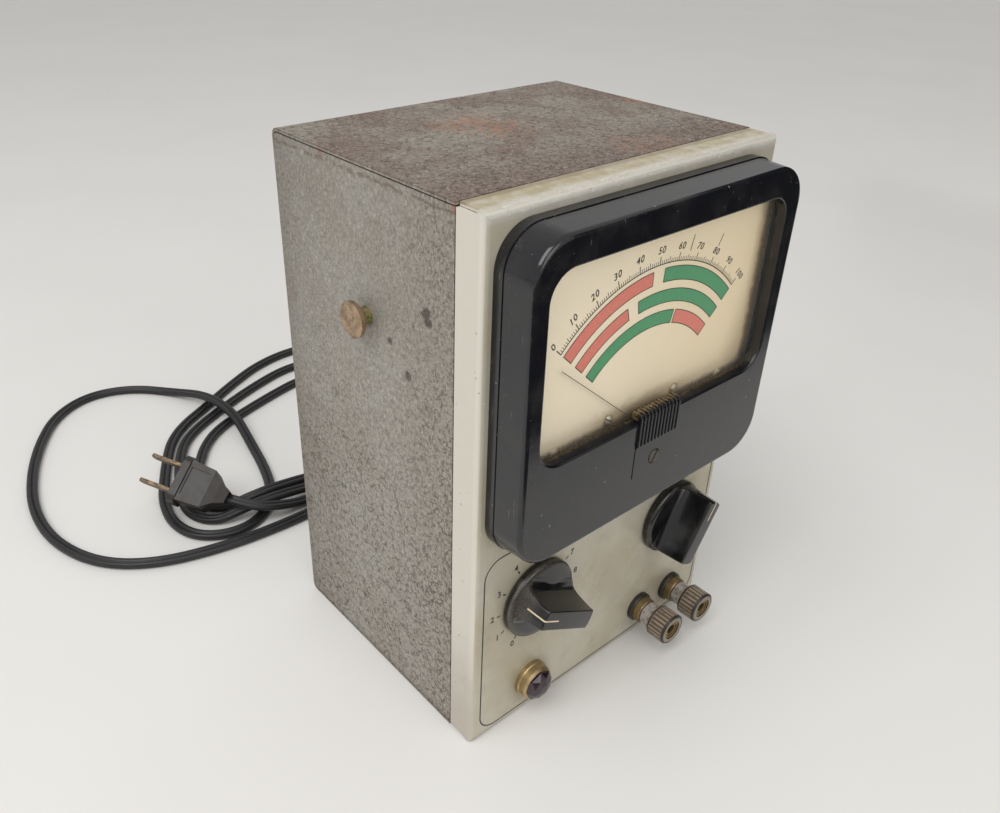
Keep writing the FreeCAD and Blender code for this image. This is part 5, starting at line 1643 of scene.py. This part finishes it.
@dataclass
class PointerKnob:
    """A bar knob: a turned foot, a bar with hollow flanks and a cream pointer line."""

    name: str
    body: str
    x: float
    pointing: float
    z: float = 55.15
    face: float = -52.4
    half: float = 0.26
    ink: float = 0.05
    line: tuple[tuple[float, float], ...] = ((5.7, 16.02), (12.9, 16.02), (13.42, 15.5), (13.84, 8.3))
    flank: tuple[tuple[float, float], ...] = (
        (3.45, 16.0),
        (3.62, 13.8),
        (3.95, 11.6),
        (4.4, 9.2),
        (4.9, 7.1),
        (5.5, 5.6),
        (6.3, 4.7),
        (7.4, 4.1),
        (8.6, 3.8),
        (8.6, 3.4),
    )
    foot: tuple[tuple[float, float], ...] = (
        (0.0, 4.7),
        (6.0, 4.6),
        (8.0, 4.2),
        (10.0, 3.85),
        (12.2, 3.6),
        (14.2, 3.5),
        (14.75, 3.1),
        (15.1, 2.4),
        (15.1, 0.8),
        (8.6, 0.8),
        (8.6, 3.3),
        (0.0, 3.3),
    )
    cone: tuple[float, float, float] = (14.2, 2.8, 0.063)
    crown: tuple[float, float, float] = (12.9, 16.0, 1.0)
    reach: float = 16.0
    facets: int = 72
    round: float = 0.3
    sharp: float = 0.65
    smooth: float = 35.0

    def build(self, cream: bpy.types.Material, bakelite: bpy.types.Material) -> None:
        """Builds the knob in place of the plainer one, and the line along its bar.

        Args:
            cream: The line's finish.
            bakelite: The knob's finish.
        """
        place = facing_front(Vector((self.x, self.face, self.z)), -self.pointing)
        knob = Shape()
        self.bar(knob.mesh)
        self.turned_foot(knob.mesh)
        bmesh.ops.transform(knob.mesh, matrix=place, verts=knob.mesh.verts)
        for face in knob.mesh.faces:
            face.smooth = True
        piece = knob.piece(f"{self.name}_bar_knob", self.body, "bakelite", bakelite)
        piece.data.set_sharp_from_angle(angle=math.radians(self.smooth))
        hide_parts(f"{self.name}_knob")
        self.pointer_line(place, cream)

    def pointer_line(self, place: Matrix, cream: bpy.types.Material) -> None:
        """Builds the line along the bar's nose.

        Args:
            place: Where the knob goes.
            cream: The line's finish.
        """
        shape = Shape()
        path = [shape.mesh.verts.new((radius, -self.half, rise)) for radius, rise in self.line]
        runs = [shape.mesh.edges.new(pair) for pair in zip(path, path[1:])]
        made = bmesh.ops.extrude_edge_only(shape.mesh, edges=runs)
        bmesh.ops.translate(shape.mesh, verts=verts_of(made["geom"]), vec=(0, 2 * self.half, 0))
        bmesh.ops.recalc_face_normals(shape.mesh, faces=shape.mesh.faces)
        shape.thicken(list(shape.mesh.faces), Vector((self.ink, 0, self.ink)))
        bmesh.ops.transform(shape.mesh, matrix=place, verts=shape.mesh.verts)
        shape.piece(f"{self.name}_line", self.body, "bakelite", cream)

    def bar(self, mesh: bmesh.types.BMesh) -> None:
        """Draws the bar's section, draws it out, trims it to the knob's cone and rounds its edges.

        Args:
            mesh: The mesh to add it to, with the knob's axis upright.
        """
        section = self.flank + tuple((-wide, high) for wide, high in reversed(self.flank))
        ring = [mesh.verts.new((-self.reach, wide, high)) for wide, high in section]
        runs = [mesh.edges.new(pair) for pair in zip(ring, ring[1:] + ring[:1])]
        made = bmesh.ops.edgeloop_fill(mesh, edges=runs)
        grown = bmesh.ops.extrude_face_region(mesh, geom=made["faces"], use_keep_orig=True)
        bmesh.ops.translate(mesh, verts=verts_of(grown["geom"]), vec=(2 * self.reach, 0, 0))
        bmesh.ops.recalc_face_normals(mesh, faces=mesh.faces)
        for radius, high, slope in (self.cone, self.crown):
            for count in range(self.facets):
                angle = math.tau * count / self.facets
                out = Vector((math.cos(angle), math.sin(angle), 0))
                self.trim(mesh, out * radius + Vector((0, 0, high)), out + Vector((0, 0, slope)))
        edges = [edge for edge in mesh.edges if self.is_sharp(edge)]
        bmesh.ops.bevel(
            mesh, geom=edges, offset=self.round, affect="EDGES", segments=3, profile=0.5, material=-1
        )

    def turned_foot(self, mesh: bmesh.types.BMesh) -> None:
        """Turns the foot and the skirt under the bar, hollow below for the nut.

        Args:
            mesh: The mesh to add them to, with the knob's axis upright.
        """
        turn_round(mesh, [mesh.verts.new((radius, 0, high)) for radius, high in self.foot], self.facets)

    @staticmethod
    def trim(mesh: bmesh.types.BMesh, spot: Vector, out: Vector) -> None:
        """Cuts off what lies beyond a plane and closes the cut.

        Args:
            mesh: The mesh to cut.
            spot: A point of the plane.
            out: The way out of the plane.
        """
        everything = list(mesh.verts) + list(mesh.edges) + list(mesh.faces)
        bmesh.ops.bisect_plane(mesh, geom=everything, plane_co=spot, plane_no=out, clear_outer=True)
        bmesh.ops.holes_fill(mesh, edges=[edge for edge in mesh.edges if edge.is_boundary])

    def is_sharp(self, edge: bmesh.types.BMEdge) -> bool:
        """Whether an edge of the bar is a sharp one above the foot."""
        low = min(vert.co.z for vert in edge.verts)
        return low > self.flank[-2][1] + self.round and edge.calc_face_angle(0.0) > self.sharp


@dataclass
class PilotJewel:
    """The cut-glass jewel of the pilot lamp."""

    x: float = -35.5
    z: float = 15.0
    face: float = -52.4
    rings: tuple[tuple[float, float, float], ...] = (
        (5.3, 1.0, 0.0),
        (5.3, 4.95, 0.0),
        (6.2, 5.02, 0.0),
        (6.1, 5.7, 0.0),
        (4.2, 7.3, 22.5),
        (1.7, 8.1, 0.0),
    )
    sides: int = 8

    def build(self) -> None:
        """Builds the jewel from turned octagons and replaces the plain one."""
        shape = Shape()
        first = self.rings[0]
        made = bmesh.ops.create_circle(shape.mesh, cap_ends=True, segments=self.sides, radius=first[0])
        bmesh.ops.translate(shape.mesh, verts=made["verts"], vec=(0, 0, first[1]))
        crown = list(shape.mesh.faces)
        old = first
        for ring in self.rings[1:]:
            grown = bmesh.ops.extrude_face_region(shape.mesh, geom=crown, use_keep_orig=old is first)
            verts = verts_of(grown["geom"])
            crown = faces_of(grown["geom"])
            spread = ring[0] / old[0]
            bmesh.ops.scale(shape.mesh, verts=verts, vec=(spread, spread, 1))
            bmesh.ops.translate(shape.mesh, verts=verts, vec=(0, 0, ring[1] - old[1]))
            spin = Matrix.Rotation(math.radians(ring[2] - old[2]), 3, "Z")
            bmesh.ops.rotate(shape.mesh, verts=verts, matrix=spin)
            old = ring
        place = facing_front(Vector((self.x, self.face, self.z)))
        bmesh.ops.transform(shape.mesh, matrix=place, verts=shape.mesh.verts)
        quads = [face for face in shape.mesh.faces if len(face.verts) == 4]
        bmesh.ops.triangulate(shape.mesh, faces=quads)
        jewel = shape.piece("pilot_jewel", "tester", "jewel_glass", JewelGlass().material())
        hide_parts("lamp_jewel")


@dataclass
class MainsLead:
    """The flat twin mains lead, lying in loose turns behind the case."""

    floor: float = 1.7
    width: float = 5.2
    start: tuple[float, float, float] = (25.0, 74.4, 16.0)
    finish: tuple[float, float, float] = (-69.56, 117.2, 11.74)
    route: list[tuple[float, float, float]] = field(
        default_factory=lambda: [
            (25, 86.5, 13.7),
            (18, 97, 9.5),
            (2, 99.5, 4),
            (-22, 96.5, 0),
            (-51, 95.5, 0),
            (-81, 98, 0),
            (-111, 106.5, 0),
            (-131, 123, 0),
            (-141, 149, 0),
            (-141, 178, 0),
            (-133, 207, 0),
            (-120, 235, 0),
            (-104, 258, 0),
            (-82, 269, 0),
            (-59, 262, 0),
            (-42, 243, 0),
            (-32, 219, 5.6),
            (-28.5, 192, 5.6),
            (-33, 164, 0),
            (-37.5, 143.5, 0),
            (-43.5, 125, 0),
            (-52.5, 111.5, 0),
            (-64.5, 104.5, 0),
            (-78, 105.5, 0),
            (-89.5, 114, 0),
            (-93.5, 129, 0),
            (-90, 147, 0),
            (-82, 164, 0),
            (-74, 179, 0),
            (-65, 194, 0),
            (-52, 206, 0),
            (-34, 216, 0),
            (-11, 230, 0),
            (13, 242, 0),
            (38, 246, 0),
            (63, 240, 0),
            (83, 223, 0),
            (92, 199, 0),
            (91, 172, 0),
            (83, 146, 0),
            (66, 126, 0),
            (42, 116, 0),
            (14, 111.5, 0),
            (-14, 110, 0),
            (-42, 110, 5.2),
            (-61, 112.5, 5.2),
            (-77, 117, 0),
            (-84.5, 129.5, 0),
            (-81.5, 146.5, 0),
            (-75, 162, 0),
            (-68.5, 175.5, 0),
            (-60, 189, 0),
            (-47, 199, 0),
            (-29, 208, 0),
            (-4, 219, 0),
            (25, 228, 0),
            (50, 223, 0),
            (69, 207, 0),
            (77, 184, 0),
            (74, 160, 0),
            (62, 139, 0),
            (42, 126, 0),
            (16, 119.5, 0),
            (-12, 117.5, 0),
            (-36, 116.5, 5.2),
            (-55, 118.5, 5.2),
            (-71, 123.5, 0),
            (-77, 136, 0),
            (-71.5, 151, 0),
            (-62.5, 165.5, 0),
            (-53, 179, 0),
            (-40, 190, 0),
            (-22, 197, 0),
            (0, 204, 0),
            (24, 210, 0),
            (44, 205, 0),
            (57, 190, 0),
            (61, 170, 0),
            (57, 150, 1.5),
            (49, 134, 5.5),
            (38, 118, 5.5),
            (23.5, 106.5, 5),
            (3, 103.5, 0),
            (-19, 103.5, 0),
            (-39, 104, 1.2),
            (-51.5, 103.5, 5.4),
            (-62.5, 107.5, 7.8),
        ]
    )
    profile: tuple[tuple[float, float], ...] = (
        (0.0, 0.5),
        (0.5, 1.45),
        (1.85, 1.7),
        (2.6, 0.8),
        (2.6, -0.8),
        (1.85, -1.7),
        (0.5, -1.45),
        (0.0, -0.5),
        (-0.5, -1.45),
        (-1.85, -1.7),
        (-2.6, -0.8),
        (-2.6, 0.8),
        (-1.85, 1.7),
        (-0.5, 1.45),
    )

    @staticmethod
    def spline(name: str, points: list[tuple[float, float, float]], closed: bool) -> bpy.types.Object:
        """Makes a smooth curve with the points as its control points.

        Args:
            name: Name of the curve.
            points: Control points in metres.
            closed: Whether its end meets its start.

        Returns:
            The curve's object.
        """
        curve = bpy.data.curves.new(name, "CURVE")
        curve.dimensions = "2D" if closed else "3D"
        curve.resolution_u = 4 if closed else 7
        line = curve.splines.new("NURBS")
        line.points.add(len(points) - 1)
        for knot, point in zip(line.points, points):
            knot.co = (*point, 1.0)
        line.order_u = 3
        line.use_endpoint_u = not closed
        line.use_cyclic_u = closed
        holder = bpy.data.objects.new(name, curve)
        bpy.context.scene.collection.objects.link(holder)
        return holder

    def build(self) -> None:
        rubber = Rubber("lead_rubber", tone(25, 25, 27), tone(82, 79, 75), 0.4, 0.12)
        low = [(x * MM, y * MM, (self.floor + rise) * MM) for x, y, rise in self.route]
        first = tuple(part * MM for part in self.start)
        last = tuple(part * MM for part in self.finish)
        line = self.spline("lead_line", [first, *low, last], False)
        thread = bpy.data.meshes.new_from_object(line)
        outline = self.spline("lead_outline", [(x * MM, y * MM, 0.0) for x, y in self.profile], True)
        line.data.twist_mode = "Z_UP"
        line.data.bevel_mode = "OBJECT"
        line.data.bevel_object = outline
        line.data.use_fill_caps = True
        bpy.context.view_layer.update()
        swept = line.evaluated_get(bpy.context.evaluated_depsgraph_get())
        data = bpy.data.meshes.new_from_object(swept)
        for holder in (line, outline):
            curve = holder.data
            bpy.data.objects.remove(holder)
            bpy.data.curves.remove(curve)
        bpy.data.meshes.remove(thread)
        shape = Shape()
        shape.mesh.from_mesh(data)
        bpy.data.meshes.remove(data)
        bmesh.ops.scale(shape.mesh, vec=(1 / MM,) * 3, verts=shape.mesh.verts)
        for face in shape.mesh.faces:
            face.smooth = True
        lead = shape.piece("mains_lead", "tester", "rubber", rubber.material())
        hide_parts("line_cord")


@dataclass(frozen=True)
class StageCloth:
    """The plain, faintly cloudy finish of the floor and the cards."""

    name: str
    first: Colour
    second: Colour
    pitch: float
    detail: float
    dull: float

    def material(self) -> bpy.types.Material:
        """Builds the cloth's nodes and returns the material."""
        sheet = NodeSheet(self.name)
        cloud = sheet.noise(self.pitch, self.detail)
        return sheet.skin(Base_Color=sheet.blend(cloud, self.first, self.second), Roughness=self.dull)


@dataclass(frozen=True)
class SoftLamp:
    """A soft square lamp, in metres and watts."""

    name: str
    place: tuple[float, float, float]
    side: float
    power: float
    target: tuple[float, float, float] = (0.0, 0.0, 0.1)


@dataclass(frozen=True)
class DarkCard:
    """A card that gives black gloss something dark to mirror, in metres and degrees."""

    name: str
    place: tuple[float, float, float]
    turn: tuple[float, float, float]
    size: tuple[float, float]


@dataclass
class Studio:
    """The camera, the pale floor and the soft lamps."""

    eye: tuple[float, float, float] = (-0.203456, -0.210516, 0.270376)
    aim: tuple[float, float, float] = (59.369, -1.033, -40.111)
    lens: float = 32.167
    sensor: float = 36.0
    nearest: float = 0.01
    shift: tuple[float, float] = (0.0308, -0.0125)
    floor_side: float = 10.0
    floor_drop: float = 0.0002
    sky: float = 0.62
    sky_colour: Colour = (1.0, 0.99, 0.97, 1.0)
    lamps: tuple[SoftLamp, ...] = (
        SoftLamp("key_panel", (-0.75, -0.15, 1.25), 1.0, 11.5),
        SoftLamp("front_panel_light", (-0.1, -1.25, 0.75), 0.9, 4.5),
    )
    cards: tuple[DarkCard, ...] = (
        DarkCard("front_flag", (0.35, -0.75, 0.0005), (0.0, 0.0, 0.0), (1.9, 1.1)),
        DarkCard("right_flag", (0.75, -0.33, 0.4), (0.0, 90.0, 0.0), (0.75, 1.15)),
    )

    def build(self) -> None:
        """Builds everything round the object."""
        self.camera()
        self.floor()
        self.world()
        for card in self.cards:
            self.dark_card(card)
        for lamp in self.lamps:
            self.soft_lamp(lamp)
        bpy.context.scene.view_settings.view_transform = "Standard"

    def camera(self) -> None:
        """Sets the camera where the picture was taken from."""
        data = bpy.data.cameras.new("camera")
        data.sensor_fit = "HORIZONTAL"
        data.sensor_width = self.sensor
        data.lens = self.lens
        data.shift_x, data.shift_y = self.shift
        data.clip_start = self.nearest
        made = bpy.data.objects.new("camera", data)
        made.location = self.eye
        made.rotation_euler = [math.radians(angle) for angle in self.aim]
        bpy.context.scene.collection.objects.link(made)
        bpy.context.scene.camera = made

    @staticmethod
    def flat(name: str, size: tuple[float, float], finish: bpy.types.Material) -> bpy.types.Object:
        """Makes a flat rectangle that belongs to the stage.

        Args:
            name: Its name.
            size: Its two lengths.
            finish: Its finish.

        Returns:
            The new object.
        """
        mesh = bmesh.new()
        bmesh.ops.create_grid(mesh, x_segments=1, y_segments=1, size=0.5)
        bmesh.ops.scale(mesh, vec=(size[0], size[1], 1), verts=mesh.verts)
        data = bpy.data.meshes.new(name)
        mesh.to_mesh(data)
        mesh.free()
        data.materials.append(finish)
        made = bpy.data.objects.new(name, data)
        bpy.context.scene.collection.objects.link(made)
        return made

    def floor(self) -> None:
        """Lays the pale floor."""
        pale = StageCloth("floor_pale", tone(218, 216, 213), tone(225, 224, 221), 160, 3, 0.5)
        made = self.flat("floor", (self.floor_side, self.floor_side), pale.material())
        made.location.z = -self.floor_drop

    def dark_card(self, card: DarkCard) -> None:
        """Sets up a card that only reflections see.

        Args:
            card: The card.
        """
        cloth = StageCloth(f"{card.name}_cloth", tone(26, 26, 27), tone(34, 34, 34), 6, 2, 0.9)
        made = self.flat(card.name, card.size, cloth.material())
        made.location = card.place
        made.rotation_euler = [math.radians(angle) for angle in card.turn]
        made.visible_camera = False
        made.visible_diffuse = False
        made.visible_transmission = False
        made.visible_shadow = False

    def world(self) -> None:
        """Gives the scene an even pale sky."""
        world = bpy.data.worlds.new("sky")
        world.use_nodes = True
        bpy.context.scene.world = world
        back = world.node_tree.nodes["Background"]
        back.inputs["Color"].default_value = self.sky_colour
        back.inputs["Strength"].default_value = self.sky

    @staticmethod
    def soft_lamp(lamp: SoftLamp) -> None:
        """Hangs a soft lamp.

        Args:
            lamp: The lamp.
        """
        data = bpy.data.lights.new(lamp.name, "AREA")
        data.size = lamp.side
        data.energy = lamp.power
        made = bpy.data.objects.new(lamp.name, data)
        made.location = lamp.place
        aim = Vector(lamp.target) - Vector(lamp.place)
        made.rotation_euler = aim.to_track_quat("-Z", "Y").to_euler()
        bpy.context.scene.collection.objects.link(made)


class Wardrobe:
    """Gives each carried-over solid its finish."""

    def __init__(self) -> None:
        """Makes every finish once, with a few pieces set apart from their slot."""
        bakelite = Bakelite().material()
        brass = TarnishedBrass("brass_tarnished", tone(150, 131, 94), tone(100, 84, 58)).material()
        steel = PlainMetal("plated_steel", tone(186, 184, 178), tone(136, 130, 122), 0.3).material()
        light = PlainMetal("satin_light_metal", tone(196, 196, 194), tone(160, 160, 158), 0.3).material()
        card = DialCard().material()
        self.by_slot = {
            "case_paint": HammerPaint().material(),
            "panel_paint": PanelPaint().material(),
            "bakelite": bakelite,
            "dial_card": card,
            "clear_glass": WindowGlass().material(),
            "jewel_glass": JewelGlass().material(),
            "worn_brass": brass,
            "steel": steel,
            "iron": PlainMetal("dull_iron", tone(98, 96, 94), tone(66, 62, 58), 0.5, 0.7).material(),
            "light_metal": light,
            "phenolic": Laminate("brown_laminate", tone(106, 70, 42), tone(76, 48, 28)).material(),
            "winding": WaxedPaper().material(),
            "post_plastic": PostPlastic().material(),
            "rubber": Rubber("grommet_rubber", tone(38, 36, 36), tone(84, 78, 72)).material(),
        }
        knob = KnobBakelite().material()
        stud = TarnishedBrass("strap_stud_nickel", tone(180, 155, 128), tone(92, 72, 54), 0.26, 0.9, 1.0)
        bezel = TarnishedBrass("bezel_brass", tone(186, 164, 122), tone(128, 107, 76), 0.26, 0.8)
        needle = Ink("needle_black", tone(92, 82, 70), tone(118, 106, 90), 0.4).material()
        blades = TarnishedBrass("blade_brown", tone(124, 108, 88), tone(88, 74, 58), 0.45).material()
        plug = Rubber("plug_brown_rubber", tone(40, 36, 33), tone(88, 78, 68), 0.42, 0.35).material()
        screw = Laminate("zero_screw_brown", tone(54, 49, 43), tone(78, 69, 56), 0.3).material()
        self.by_node = {
            "calibration_knob": knob,
            "selector_knob": knob,
            "strap_stud_left": stud.material(),
            "strap_stud_right": stud.material(),
            "pivot_cover": RibbedBakelite().material(),
            "zero_screw": screw,
            "dial_screws": card,
            "lamp_bezel": bezel.material(),
            "pointer": needle,
            "post_washers": Laminate("washer_black", tone(30, 28, 27), tone(52, 46, 40), 0.35).material(),
            "plug_body": plug,
            "plug_blades": blades,
        }

    def dress(self) -> None:
        """Puts a finish on every node by its name or by its slot in the record."""
        slots = {part["node"]: part["material_slot"] for part in frame["record"]["subparts"]}
        for name, node in frame["nodes"].items():
            finish = self.by_node.get(name) or self.by_slot[slots[name]]
            node.data.materials.clear()
            node.data.materials.append(finish)
        LOG.info("dressed %d solids", len(frame["nodes"]))


def main() -> None:
    """Builds the scene in order."""
    logging.basicConfig(level=logging.INFO, format="%(name)s: %(message)s")
    Studio().build()
    MainsLead().build()
    wardrobe = Wardrobe()
    wardrobe.dress()
    dial = DialFace()
    dial.build()
    dial.margins(wardrobe.by_slot["dial_card"])
    Needle().build(wardrobe.by_node["pointer"])
    PivotHood().build(wardrobe.by_node["pivot_cover"])
    DialScrews().build()
    ZeroScrew().build(wardrobe.by_node["zero_screw"])
    PanelPrint().build()
    cream = Ink("knob_line_cream", tone(214, 198, 168), tone(160, 142, 112), 0.5).material()
    knob = wardrobe.by_node["calibration_knob"]
    left_knob = PointerKnob("calibration", "calibration_control", x=-35.5, pointing=150.0)
    right_knob = PointerKnob("selector", "range_selector", x=35.5, pointing=60.0)
    for bar_knob in (left_knob, right_knob):
        bar_knob.build(cream, knob)
    PilotJewel().build()


if __name__ == "__main__":
    main()
